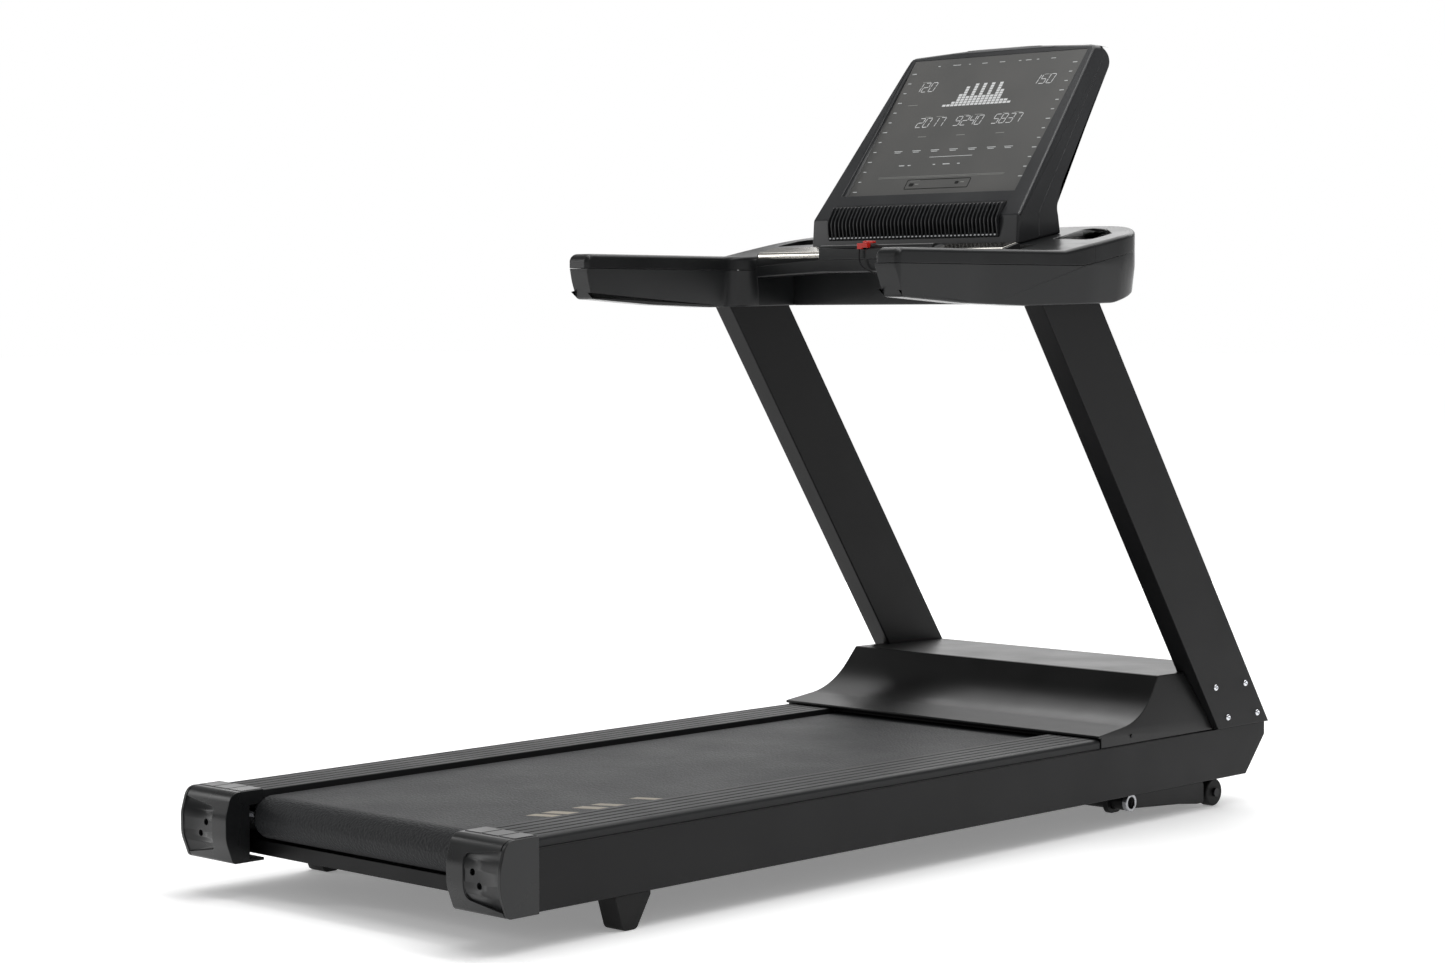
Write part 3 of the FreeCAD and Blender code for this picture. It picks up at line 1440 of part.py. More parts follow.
def check_and_write():
    """Move the pieces to the shared origin, check each one and write its file."""
    for name, made in nodes.items():
        bind(made, "Placement.Base.y", places[made.Name] - centre_y)
    doc.recompute()
    for thing in doc.Objects:
        if "Invalid" in thing.State or "Error" in thing.State:
            raise SystemExit(f"{thing.Name} is {thing.State}")
    os.makedirs("parts", exist_ok=True)
    for name, made in nodes.items():
        shape = made.Shape
        if shape.isNull() or not shape.isValid() or not shape.Solids:
            raise SystemExit(f"{name} has no valid solid")
        shape.exportStep(os.path.join("parts", f"{name}.step"))
        print(f"{name}: {len(shape.Solids)} solids, {shape.Volume / 1000:.0f} cm3")
    print(len(nodes), "nodes")


build()
check_and_write()
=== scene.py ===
# %% [markdown]
# # A club treadmill, dressed round its CAD frame
# The CAD frame already has every piece at its real size. This lesson gives the pieces what a frame
# cannot carry: rounded moulding edges, grained plastics, a pebbled belt, a lit display and a red key
# on its cord. Each step first says what the real thing is, and then builds it.

# %% Load the frame
import json
import math

import bmesh
import bpy
from mathutils import Matrix, Vector


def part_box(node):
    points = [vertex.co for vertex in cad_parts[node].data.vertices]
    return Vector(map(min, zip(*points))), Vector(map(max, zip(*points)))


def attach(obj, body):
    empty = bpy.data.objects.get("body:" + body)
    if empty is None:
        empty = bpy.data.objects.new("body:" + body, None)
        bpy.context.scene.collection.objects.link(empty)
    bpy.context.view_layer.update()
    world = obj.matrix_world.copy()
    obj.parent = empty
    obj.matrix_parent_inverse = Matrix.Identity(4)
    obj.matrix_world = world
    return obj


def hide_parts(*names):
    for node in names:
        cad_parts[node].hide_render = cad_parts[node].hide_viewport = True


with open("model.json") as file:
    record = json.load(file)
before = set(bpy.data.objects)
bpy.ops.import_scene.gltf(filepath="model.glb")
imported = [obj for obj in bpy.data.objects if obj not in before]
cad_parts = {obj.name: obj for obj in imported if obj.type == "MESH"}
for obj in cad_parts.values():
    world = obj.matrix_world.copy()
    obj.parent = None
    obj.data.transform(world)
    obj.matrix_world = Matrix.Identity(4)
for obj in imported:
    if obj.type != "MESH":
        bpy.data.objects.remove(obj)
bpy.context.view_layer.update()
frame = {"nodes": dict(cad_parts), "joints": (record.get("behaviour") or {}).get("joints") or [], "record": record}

# %% [markdown]
# ## Camera
# The machine is seen from its rear right corner, a little below shoulder height, through a long lens.
# A long lens keeps the far upright almost as wide as the near one.

# %% Camera
CAMERA_AT = Vector((3.9189, -4.2340, 1.0107))
CAMERA_TURN = math.radians(43.656)
CAMERA_PITCH = math.radians(-3.150)
CAMERA_ROLL = math.radians(-0.124)

camera_data = bpy.data.cameras.new("studio_camera")
camera_data.lens = 75.23
camera_data.sensor_width = 36
camera = bpy.data.objects.new("studio_camera", camera_data)
camera.matrix_world = (
    Matrix.Translation(CAMERA_AT)
    @ Matrix.Rotation(CAMERA_TURN, 4, "Z")
    @ Matrix.Rotation(math.pi / 2 + CAMERA_PITCH, 4, "X")
    @ Matrix.Rotation(CAMERA_ROLL, 4, "Z")
)
bpy.context.scene.collection.objects.link(camera)
bpy.context.scene.camera = camera

# %% [markdown]
# ## Studio
# The floor is a plain pale sheet under a white room. One broad soft light falls from above and
# behind, so that the tops of things shine and their near sides stay dark. A long strip on the left
# draws the rounded edges as fine lines, and a low wall of light behind shines along the flat tops.
# The room looks white but gives little light of its own, because a black machine in a bright room
# turns grey.

# %% Studio helpers
def linear(code):
    """A linear colour from an sRGB hex code such as 1c1d1f."""
    parts = [int(code[i:i + 2], 16) / 255 for i in (0, 2, 4)]
    return tuple(c / 12.92 if c <= 0.04045 else ((c + 0.055) / 1.055) ** 2.4 for c in parts) + (1.0,)


def add(tree, kind, inputs=None, **settings):
    """Add a node, with its settings, and with values or links for its inputs."""
    made = tree.nodes.new(kind)
    for key, value in settings.items():
        setattr(made, key, value)
    for key, value in (inputs or {}).items():
        if isinstance(value, bpy.types.NodeSocket):
            tree.links.new(value, made.inputs[key])
        else:
            made.inputs[key].default_value = value
    return made


def soft_lamp(name, at, target, size, power):
    """A square soft box at a place, aimed at a target."""
    data = bpy.data.lights.new(name, "AREA")
    data.shape = "RECTANGLE"
    data.size, data.size_y = size
    data.energy = power
    lamp = bpy.data.objects.new(name, data)
    lamp.location = at
    lamp.rotation_euler = (Vector(target) - Vector(at)).to_track_quat("-Z", "Y").to_euler()
    lamp.visible_camera = False
    bpy.context.scene.collection.objects.link(lamp)
    return lamp


# %% Floor, sky and lamps
floor_mesh = bpy.data.meshes.new("studio_floor")
floor_mesh.from_pydata([(-60, -60, 0), (60, -60, 0), (60, 60, 0), (-60, 60, 0)], [], [(0, 1, 2, 3)])
floor = bpy.data.objects.new("studio_floor", floor_mesh)
bpy.context.scene.collection.objects.link(floor)

paper = bpy.data.materials.new("studio_paper")
paper.use_nodes = True
paper_shader = paper.node_tree.nodes["Principled BSDF"]
paper_shader.inputs["Base Color"].default_value = linear("ffffff")
paper_shader.inputs["Roughness"].default_value = 0.9
paper_shader.inputs["Specular IOR Level"].default_value = 0.1
paper_shader.inputs["Emission Color"].default_value = linear("ffffff")
paper_shader.inputs["Emission Strength"].default_value = 0.24
floor_mesh.materials.append(paper)

ROOM_LIGHT = 0.26

room = bpy.data.worlds.new("studio_room")
room.use_nodes = True
bpy.context.scene.world = room
wall = room.node_tree.nodes["Background"]
wall.inputs["Color"].default_value = linear("ffffff")
seen = add(room.node_tree, "ShaderNodeLightPath")
strength = add(room.node_tree, "ShaderNodeMapRange",
               {"Value": seen.outputs["Is Camera Ray"], "To Min": ROOM_LIGHT, "To Max": 1.0})
room.node_tree.links.new(strength.outputs["Result"], wall.inputs["Strength"])

sun_data = bpy.data.lights.new("ceiling_light", "SUN")
sun_data.energy = 1.9
sun_data.angle = math.radians(70)
sun = bpy.data.objects.new("ceiling_light", sun_data)
sun.rotation_euler = Vector((-0.25, 0.75, 1.6)).to_track_quat("Z", "Y").to_euler()
bpy.context.scene.collection.objects.link(sun)

soft_lamp("backdrop", (-3.8, 4.1, 0.95), (0.2, 0.2, 0.6), (6.5, 1.9), 46)
soft_lamp("rear_box", (-1.2, 3.4, 2.5), (0, 0.2, 0.5), (3.2, 1.2), 24)
soft_lamp("left_strip", (-3.4, -2.6, 1.9), (0, -0.6, 0.3), (0.7, 2.8), 24)
soft_lamp("right_strip", (3.6, 0.6, 2.6), (0, 0, 0.6), (0.6, 3.2), 4)
soft_lamp("overhead_strip", (0.8, 0.1, 3.0), (0.3, 0.1, 0.9), (0.35, 3.2), 22)
bpy.context.scene.view_settings.view_transform = "Standard"

# %% [markdown]
# ## Finishes
# Most of this machine is black, and black pieces differ by how they shine. Each finish is one small
# material: a colour, a roughness that drifts a little over the surface, and a grain that bumps it.

# %% Helper: a grained finish
MM = 0.001
PLASTIC_IOR = 1.5
DRIFT_MM = 140


def grained(name, dark, light, rough, grain, bump, metallic=0.0, gloss=0.5, coat=0.0,
            stretch=(1, 1, 1)):
    """A surface with a fine grain of a size in millimetres and a slow drift in tone and roughness."""
    made = bpy.data.materials.new(name)
    made.use_nodes = True
    tree = made.node_tree
    shader = tree.nodes["Principled BSDF"]
    place = add(tree, "ShaderNodeTexCoord")
    along = add(tree, "ShaderNodeMapping", {"Vector": place.outputs["Object"], "Scale": stretch})
    fine = add(tree, "ShaderNodeTexNoise",
               {"Vector": along.outputs["Vector"], "Scale": 1 / (grain * MM), "Detail": 2.0})
    slow = add(tree, "ShaderNodeTexNoise",
               {"Vector": place.outputs["Object"], "Scale": 1 / (DRIFT_MM * MM), "Detail": 3.0})
    tone = add(tree, "ShaderNodeMix",
               {"Factor": slow.outputs["Fac"], 6: linear(dark), 7: linear(light)}, data_type="RGBA")
    shine = add(tree, "ShaderNodeMapRange", {
        "Value": slow.outputs["Fac"], "From Min": 0.3, "From Max": 0.7,
        "To Min": rough - 0.04, "To Max": rough + 0.04,
    })
    relief = add(tree, "ShaderNodeBump",
                 {"Height": fine.outputs["Fac"], "Distance": bump * MM, "Strength": 1.0})
    tree.links.new(tone.outputs[2], shader.inputs["Base Color"])
    tree.links.new(shine.outputs["Result"], shader.inputs["Roughness"])
    tree.links.new(relief.outputs["Normal"], shader.inputs["Normal"])
    shader.inputs["Metallic"].default_value = metallic
    shader.inputs["Coat Weight"].default_value = coat
    shader.inputs["Coat Roughness"].default_value = 0.12
    if metallic < 1:
        shader.inputs["IOR"].default_value = PLASTIC_IOR
        shader.inputs["Specular IOR Level"].default_value = gloss
    print("finish:", name)
    return made


# %% Painted and bare metals
# Powder coat melts into a skin with a faint orange peel, which breaks a reflection up.
powder_coat = grained("powder_coated_steel", "0f0f10", "151516", 0.44, 1.6, 0.05, gloss=0.22)
ground_steel = grained("ground_steel", "9c9da0", "b4b5b8", 0.28, 0.8, 0.01, metallic=1.0, stretch=(1, 8, 8))
cast_iron = grained("turned_cast_iron", "4a4a4b", "5c5c5d", 0.5, 1.2, 0.04, metallic=1.0)
cast_aluminium = grained("cast_aluminium", "8a8c90", "a0a2a6", 0.45, 1.4, 0.05, metallic=1.0)
stainless = grained("polished_stainless", "cfccc4", "dedbd4", 0.16, 0.9, 0.006, metallic=1.0,
                    stretch=(0.05, 1, 1))
chrome = grained("chromed_steel", "d6d8dc", "e2e4e8", 0.08, 3.0, 0.002, metallic=1.0)
black_oxide = grained("black_oxide_steel", "1c1c1e", "242426", 0.38, 1.0, 0.02, metallic=0.6)

# %% Moulded plastics, rubber, board and cord
rail_vinyl = grained("extruded_rail_vinyl", "151617", "1d1e1f", 0.5, 1.4, 0.04, gloss=0.3)
gloss_abs = grained("gloss_moulded_abs", "121314", "18191a", 0.3, 2.0, 0.01, gloss=0.42)
satin_abs = grained("satin_moulded_abs", "090909", "0d0d0e", 0.36, 1.2, 0.03, gloss=0.34)
grained_abs = grained("spark_grained_abs", "121314", "191a1b", 0.32, 1.3, 0.05, gloss=0.36)
head_abs = grained("console_abs", "1e1f21", "28292b", 0.34, 1.2, 0.04, gloss=0.5)
overlay = grained("printed_overlay", "505150", "5c5b59", 0.34, 1.0, 0.01, gloss=0.45)
matt_rubber = grained("moulded_rubber", "101010", "181818", 0.62, 1.5, 0.08, gloss=0.3)
film_board = grained("film_faced_board", "1a1613", "241f1b", 0.5, 1.6, 0.04, stretch=(1, 0.1, 1))
key_red = grained("red_acetal", "b3170f", "c8261a", 0.25, 1.6, 0.01, gloss=0.5, coat=0.1)
braid = grained("braided_cord", "0d0d0e", "2a2a2c", 0.8, 0.8, 0.25, gloss=0.2)

# %% [markdown]
# ### The belt's pebble
# A running belt's top ply is embossed PVC: shallow bumps a millimetre or two across, so that shoes
# grip. Rounded cells make a pebble better than plain noise, because each bump is a separate dome.

# %% The belt's pebble
def pebbled(name, dark, light, pitch, height, rough):
    """Embossed vinyl: domes a pitch apart, in millimetres."""
    made = grained(name, dark, light, rough, 1.6, 0.1, gloss=0.25)
    tree = made.node_tree
    shader = tree.nodes["Principled BSDF"]
    place = add(tree, "ShaderNodeTexCoord")
    cells = add(tree, "ShaderNodeTexVoronoi",
                {"Vector": place.outputs["Object"], "Scale": 1 / (pitch * MM)}, feature="SMOOTH_F1")
    dome = add(tree, "ShaderNodeMapRange", {
        "Value": cells.outputs["Distance"], "From Min": 0.0, "From Max": 0.7,
        "To Min": 1.0, "To Max": 0.0,
    })
    relief = add(tree, "ShaderNodeBump",
                 {"Height": dome.outputs["Result"], "Distance": height * MM, "Strength": 1.0})
    tree.links.new(relief.outputs["Normal"], shader.inputs["Normal"])
    return made


# The real pebble is near 2 mm. It is drawn at twice that pitch, so that it shows from this far.
belt_vinyl = pebbled("embossed_belt_vinyl", "1b1c1d", "27282a", 4.4, 1.0, 0.54)

# %% [markdown]
# ## Which piece has which finish
# The record names a material slot for each CAD piece. A piece that keeps its CAD shape only needs the
# finish of its slot.

# %% Finish by slot
FINISHES = {
    "powder_coated_steel": powder_coat, "bright_steel": ground_steel, "cast_iron_wheel": cast_iron,
    "cast_aluminium": cast_aluminium, "stainless_grip": stainless, "chrome_bolt": chrome,
    "black_fastener": black_oxide, "rail_plastic": rail_vinyl, "cap_plastic": gloss_abs,
    "hood_plastic": satin_abs, "shell_plastic": grained_abs, "head_plastic": head_abs,
    "glass_panel": overlay, "belt_surface": belt_vinyl, "rubber": matt_rubber, "deck_wood": film_board,
    "key_plastic": key_red, "cord_fabric": braid,
}
slot_of = {part["node"]: part["material_slot"] for part in frame["record"]["subparts"]}
body_of = {name: body for body, names in frame["record"]["behaviour"]["bodies"].items() for name in names}
for name, piece in frame["nodes"].items():
    piece.data.materials.clear()
    piece.data.materials.append(FINISHES[slot_of[name]])
print("finished", len(slot_of), "frame pieces")

# %% [markdown]
# ## Rounded edges
# No moulded or folded piece has a knife edge. Its corners are rounded by a few millimetres, and those
# narrow bands catch the lamps as fine bright lines. The CAD solids are sharp there, so each such piece
# is copied, its flat faces are joined up again, and its corners are bevelled by a real radius. A rule
# gives each corner its radius, and weighted normals keep the flats flat beside the round.

# %% Helpers: keep a piece, bake its modifiers, round a CAD piece
def keep(name, mesh, body, slot):
    """A finished mesh as a piece at the origin that rides on a body."""
    made = bpy.data.objects.new(name, mesh)
    bpy.context.scene.collection.objects.link(made)
    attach(made, body)
    return made


def baked(source):
    """The plain mesh that an object's modifiers give; the object is removed."""
    graph = bpy.context.evaluated_depsgraph_get()
    mesh = bpy.data.meshes.new_from_object(source.evaluated_get(graph), depsgraph=graph)
    bpy.data.objects.remove(source)
    return mesh


def all_round(radius):
    """A rule: every corner has one radius."""
    return lambda edge, middle: radius


def long_ones(radius, reach, rest):
    """A rule: edges longer than a reach in millimetres have one radius, and the others another."""
    return lambda edge, middle: radius if edge.calc_length() > reach * MM else rest


def rounded(name, rule, steps=3, sharp=35):
    """Stand a copy of a CAD piece, its outer corners rounded by a rule in millimetres, in its place."""
    mesh = frame["nodes"][name].data.copy()
    work = bmesh.new()
    work.from_mesh(mesh)
    bmesh.ops.remove_doubles(work, verts=work.verts, dist=1e-6)
    bmesh.ops.dissolve_limit(work, angle_limit=math.radians(0.6), verts=work.verts, edges=work.edges)
    weights = work.edges.layers.float.new("bevel_weight_edge")
    radii = {}
    for edge in work.edges:
        if len(edge.link_faces) == 2 and edge.calc_face_angle(0) > math.radians(sharp) and edge.is_convex:
            radii[edge] = rule(edge, (edge.verts[0].co + edge.verts[1].co) / 2)
    largest = max(radii.values())
    for edge, radius in radii.items():
        edge[weights] = radius / largest
    work.to_mesh(mesh)
    work.free()
    source = bpy.data.objects.new(name + "_work", mesh)
    bpy.context.scene.collection.objects.link(source)
    bevel = source.modifiers.new("corner", "BEVEL")
    bevel.limit_method = "WEIGHT"
    bevel.width = largest * MM
    bevel.segments = steps
    bevel.use_clamp_overlap = False
    level = source.modifiers.new("flats", "WEIGHTED_NORMAL")
    level.keep_sharp = True
    for face in mesh.polygons:
        face.use_smooth = True
    result = baked(source)
    made = keep(name + "_moulded", result, body_of[name], slot_of[name])
    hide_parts(name)
    print(f"{name}: {len(radii)} corners rounded, {len(result.polygons)} faces")
    return made


# %% [markdown]
# ### The steel under the machine
# Tubes and plates are folded or sawn, so their long corners are rounded by the bend and their short
# ends only deburred.

# %% Round the steel
for side in ("left", "right"):
    rounded(side + "_side_frame", long_ones(2.2, 300, 0.4))
    rounded(side + "_upright", long_ones(3.0, 300, 0.4))
for name in ("crossmembers", "console_frame", "lift_frame", "pivot_hangers"):
    rounded(name, all_round(1.2), steps=2)
for name in ("riser_plates", "front_cover", "belly_pan", "motor_bracket"):
    rounded(name, all_round(0.4), steps=1)

# %% [markdown]
# ### The mouldings
# Injection mouldings need a radius on every corner, or the steel of the mould would crack. Where two
# shells meet, both lips are rounded, and the seam shows as a fine dark groove.

# %% Round the mouldings
CONSOLE_LEAN = math.radians(50.8)
FACE_NORMAL = Vector((0, -math.sin(CONSOLE_LEAN), math.cos(CONSOLE_LEAN)))


def underside(edge, middle):
    """A rule: outer bottom corners are softer than the lips of the seam."""
    return 3.0 if any(face.normal.z < -0.8 for face in edge.link_faces) else 0.8


def outer_shell(name, seam, radius):
    """A rule: corners between outer walls have one radius; seams, recesses and inner corners are crisp."""
    low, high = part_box(name)
    centre = (low + high) / 2

    def rule(edge, middle):
        walls = [face.normal for face in edge.link_faces]
        at_seam = any(wall.dot(seam) > 0.8 for wall in walls)
        outside = all(wall.dot(middle - centre) > 0 for wall in walls)
        return radius if outside and not at_seam else 0.8

    return rule


for side in ("left", "right"):
    rounded(side + "_end_cap", all_round(0.9))
    rounded(side + "_rear_foot", all_round(2.0))
    rounded(side + "_foot_rail", all_round(0.5), steps=2)
    rounded(side + "_arm_upper", all_round(0.8), steps=2)
    rounded(side + "_arm_lower", underside)
rounded("motor_hood", all_round(1.6))
rounded("console_cowl", all_round(0.8), steps=2)
rounded("console_pan", underside, steps=2)
rounded("cup_holders", all_round(0.9), steps=2)
rounded("handle_upper", all_round(1.2))
rounded("handle_lower", underside)
rounded("pulse_grips", all_round(0.6), steps=2)
rounded("console_front_shell", outer_shell("console_front_shell", -FACE_NORMAL, 5.0), steps=4)
rounded("console_back_shell", outer_shell("console_back_shell", FACE_NORMAL, 6.0), steps=4)
rounded("display_glass", all_round(0.5), steps=2)
rounded("fan_grille", all_round(0.5), steps=1)
rounded("safety_key", all_round(0.7), steps=2)
rounded("power_switch", all_round(0.5), steps=1)
rounded("motor_controller", all_round(0.6), steps=1)

# %% [markdown]
# ### Turned and bought-in pieces
# Rollers, wheels and pulleys are round already. Their CAD facets only need smooth shading, with the
# rims broken by a small chamfer, as a lathe leaves them.

# %% Round the turned pieces
for name in ("front_roller", "rear_roller", "left_lift_wheel", "right_lift_wheel", "flywheel",
             "roller_pulley", "motor_shaft", "drive_motor", "lift_motor", "lift_nut_tube", "fan_rotor"):
    rounded(name, all_round(0.8), steps=2)

# %% [markdown]
# ## Repeats with Geometry Nodes
# Bolts, lamp dots and graph blocks are one shape many times. A small node tree sets a unit on each
# point of a list and turns it as the point says. The tree ends in Realize Instances, because an
# instance has no mesh of its own to export.

# %% The repeating tree
def repeat_tree():
    """Unit on points: inputs for the unit, its scale and its finish; each point carries its turn."""
    tree = bpy.data.node_groups.new("unit_on_points", "GeometryNodeTree")
    face = tree.interface
    face.new_socket("Points", in_out="INPUT", socket_type="NodeSocketGeometry")
    face.new_socket("Unit", in_out="INPUT", socket_type="NodeSocketObject")
    face.new_socket("Scale", in_out="INPUT", socket_type="NodeSocketFloat").default_value = 1.0
    face.new_socket("Finish", in_out="INPUT", socket_type="NodeSocketMaterial")
    face.new_socket("Pieces", in_out="OUTPUT", socket_type="NodeSocketGeometry")
    given = add(tree, "NodeGroupInput")
    dots = add(tree, "GeometryNodeMeshToPoints", {"Mesh": given.outputs["Points"]})
    unit = add(tree, "GeometryNodeObjectInfo", {"Object": given.outputs["Unit"]})
    turn = add(tree, "GeometryNodeInputNamedAttribute", {"Name": "turn"}, data_type="FLOAT_VECTOR")
    spin = add(tree, "FunctionNodeEulerToRotation", {"Euler": turn.outputs["Attribute"]})
    placed = add(tree, "GeometryNodeInstanceOnPoints", {
        "Points": dots.outputs["Points"], "Instance": unit.outputs["Geometry"],
        "Rotation": spin.outputs["Rotation"], "Scale": given.outputs["Scale"],
    })
    real = add(tree, "GeometryNodeRealizeInstances", {"Geometry": placed.outputs["Instances"]})
    painted = add(tree, "GeometryNodeSetMaterial",
                  {"Geometry": real.outputs["Geometry"], "Material": given.outputs["Finish"]})
    add(tree, "NodeGroupOutput", {"Pieces": painted.outputs["Geometry"]})
    return tree


UNIT_ON_POINTS = repeat_tree()


def repeat(name, unit, places, finish, body, slot, scale=1.0):
    """Set a unit mesh on places, each a point and a turn, and keep the result as one piece."""
    mesh = bpy.data.meshes.new(name)
    mesh.from_pydata([place for place, turn in places], [], [])
    turns = mesh.attributes.new("turn", "FLOAT_VECTOR", "POINT")
    for index, (place, turn) in enumerate(places):
        turns.data[index].vector = turn
    master = bpy.data.objects.new(name + "_unit", unit)
    source = bpy.data.objects.new(name + "_points", mesh)
    bpy.context.scene.collection.objects.link(source)
    setter = source.modifiers.new("repeat", "NODES")
    setter.node_group = UNIT_ON_POINTS
    inputs = {item.name: item.identifier for item in UNIT_ON_POINTS.interface.items_tree
              if item.in_out == "INPUT"}
    setter[inputs["Unit"]] = master
    setter[inputs["Scale"]] = scale
    setter[inputs["Finish"]] = finish
    result = baked(source)
    bpy.data.objects.remove(master)
    made = keep(name, result, body, slot)
    print(f"{name}: {len(places)} set, {len(result.polygons)} faces")
    return made


# %% [markdown]
# ### Button-head bolts
# Four bolts a side hold each upright. A button head is a low dome with a hexagonal socket for the key.
# It is modelled once: rings of a dome, then a six-sided well whose walls go straight down.

# %% The bolt head
def button_head(radius, height, socket):
    """A low dome on the XY plane with a hexagonal socket in its top, in millimetres."""
    around = 24
    rings = [(1.0, 0.0), (1.0, 0.22), (0.93, 0.55), (0.8, 0.82), (0.68, 0.95)]
    points = []
    for share, rise in rings:
        for step in range(around):
            angle = math.tau * step / around
            reach = radius * share
            points.append((reach * math.cos(angle), reach * math.sin(angle), height * rise))
    for depth in (0.97, 0.25):
        for step in range(around):
            angle = math.tau * step / around
            flat = math.cos(math.pi / 6) / math.cos((angle + math.pi / 6) % (math.pi / 3) - math.pi / 6)
            reach = socket * flat
            points.append((reach * math.cos(angle), reach * math.sin(angle), height * depth))
    faces = []
    for ring in range(len(rings) + 1):
        for step in range(around):
            low = ring * around
            after = (step + 1) % around
            faces.append((low + step, low + after, low + around + after, low + around + step))
    faces.append(tuple((len(rings) + 1) * around + step for step in range(around)))
    faces.append(tuple(reversed(range(around))))
    mesh = bpy.data.meshes.new("button_head")
    mesh.from_pydata([tuple(MM * c for c in point) for point in points], [], faces)
    for face in mesh.polygons:
        face.use_smooth = True
    mesh.set_sharp_from_angle(angle=math.radians(40))
    return mesh


def islands(name):
    """The box of each separate solid in a CAD piece, as its lowest and highest corners."""
    work = bmesh.new()
    work.from_mesh(frame["nodes"][name].data)
    bmesh.ops.remove_doubles(work, verts=work.verts, dist=1e-6)
    left = set(work.verts)
    boxes = []
    while left:
        reach = [left.pop()]
        group = []
        while reach:
            vert = reach.pop()
            group.append(vert.co.copy())
            for edge in vert.link_edges:
                other = edge.other_vert(vert)
                if other in left:
                    left.remove(other)
                    reach.append(other)
        boxes.append(tuple(Vector(pick(p[i] for p in group) for i in range(3)) for pick in (min, max)))
    work.free()
    return boxes


# %% Set the bolts
HEAD_RADIUS = 6.8
HEAD_HEIGHT = 3.4
SOCKET_RADIUS = 3.3
HEAD_SEAT = 4
bolt_turns = {1: (0, math.pi / 2, 0), -1: (0, -math.pi / 2, 0)}
bolt_places = []
for low, high in islands("upright_bolts"):
    side = 1 if high.x > 0 else -1
    outer = max(abs(low.x), abs(high.x)) - HEAD_SEAT * MM
    bolt_places.append(((side * outer, (low.y + high.y) / 2, (low.z + high.z) / 2), bolt_turns[side]))
bolts = repeat("upright_bolt_heads", button_head(HEAD_RADIUS, HEAD_HEIGHT, SOCKET_RADIUS), bolt_places,
               chrome, "base", "chrome_bolt")
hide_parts("upright_bolts")

# %% [markdown]
# ## The lift's pivot rings
# The tube that the lift frame turns on ends in a bright turned ring on each side, with a dark bore. It
# is a lathe shape: a closed profile swept round the tube's own axis.

# %% A turned ring
def turned(name, profile, centre, finish, body, slot, steps=48):
    """A closed profile of (x, radius) in millimetres, swept round the X axis through a centre."""
    points = []
    for step in range(steps):
        angle = math.tau * step / steps
        for x, radius in profile:
            points.append(Vector((x, radius * math.cos(angle), radius * math.sin(angle))) * MM + centre)
    count = len(profile)
    faces = []
    for step in range(steps):
        for item in range(count):
            here = step * count
            there = (step + 1) % steps * count
            after = (item + 1) % count
            faces.append((here + item, here + after, there + after, there + item))
    mesh = bpy.data.meshes.new(name)
    mesh.from_pydata(points, [], faces)
    work = bmesh.new()
    work.from_mesh(mesh)
    bmesh.ops.recalc_face_normals(work, faces=work.faces)
    work.to_mesh(mesh)
    work.free()
    mesh.materials.append(finish)
    for face in mesh.polygons:
        face.use_smooth = True
    mesh.set_sharp_from_angle(angle=math.radians(35))
    made = keep(name, mesh, body, slot)
    print(f"{name}: {len(mesh.polygons)} faces")
    return made


joint_at = {joint["name"]: Vector(joint["pos_m"]) for joint in frame["joints"] if "pos_m" in joint}
pivot = joint_at["lift_hinge"]
tube_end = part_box("lift_frame")[1].x
for side, sign in (("left", -1), ("right", 1)):
    centre = Vector((sign * tube_end, pivot.y, pivot.z))
    ring = [
        (-sign * 9, 11.6), (-sign * 9, 17.6), (-sign * 0.6, 17.6),
        (sign * 0.6, 16.6), (sign * 0.6, 12.4), (-sign * 0.4, 11.6),
    ]
    turned(side + "_pivot_ring", ring, centre, ground_steel, "lift_frame_body", "bright_steel")

# %% [markdown]
# ## The display
# The console's glass is a dark printed overlay. Behind it light up a column graph and readouts of
# slanted seven-bar digits, and round them run short printed legends. All of it lies in one tilted
# plane, so one function turns a place on the glass, in millimetres, into a place in the room.

# %% The plane of the glass
glass_low, glass_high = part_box("display_glass")
GLASS_DEPTH = Vector((0, 2.95, -2.5)) * MM
glass_foot = Vector((0, glass_low.y, glass_low.z - GLASS_DEPTH.z))
glass_head = Vector((0, glass_high.y - GLASS_DEPTH.y, glass_high.z))
GLASS_UP = (glass_head - glass_foot).normalized()
GLASS_OUT = Vector((1, 0, 0)).cross(GLASS_UP)
GLASS_TILT = math.atan2(GLASS_UP.z, GLASS_UP.y)
PRINT_THICK = 0.25


def on_glass(across, up, out=0.0):
    """A point on the glass: across from its middle, up from its foot and out of it, in millimetres."""
    return glass_foot + (Vector((1, 0, 0)) * across + GLASS_UP * up + GLASS_OUT * out) * MM


def flat_shapes(name, outlines, finish, body, slot, place, thick=PRINT_THICK):
    """Flat outlines of (across, up) points, each made a thin solid by a placing function."""
    points = []
    faces = []
    for outline in outlines:
        start = len(points)
        count = len(outline)
        for out in (0.02, thick):
            points += [place(across, up, out) for across, up in outline]
        faces.append([start + count + item for item in range(count)])
        faces.append([start + item for item in reversed(range(count))])
        for item in range(count):
            after = (item + 1) % count
            faces.append([start + item, start + after, start + count + after, start + count + item])
    mesh = bpy.data.meshes.new(name)
    mesh.from_pydata(points, [], faces)
    mesh.materials.append(finish)
    made = keep(name, mesh, body, slot)
    print(f"{name}: {len(outlines)} shapes")
    return made


# %% Inks
def ink(name, code, glow=0.0, rough=0.5):
    """Screen-printed ink whose roughness drifts slowly, or a lit segment if it glows."""
    made = grained(name, code, code, rough, 0.8, 0.005, gloss=0.3)
    shader = made.node_tree.nodes["Principled BSDF"]
    shader.inputs["Emission Color"].default_value = linear(code)
    shader.inputs["Emission Strength"].default_value = glow
    return made


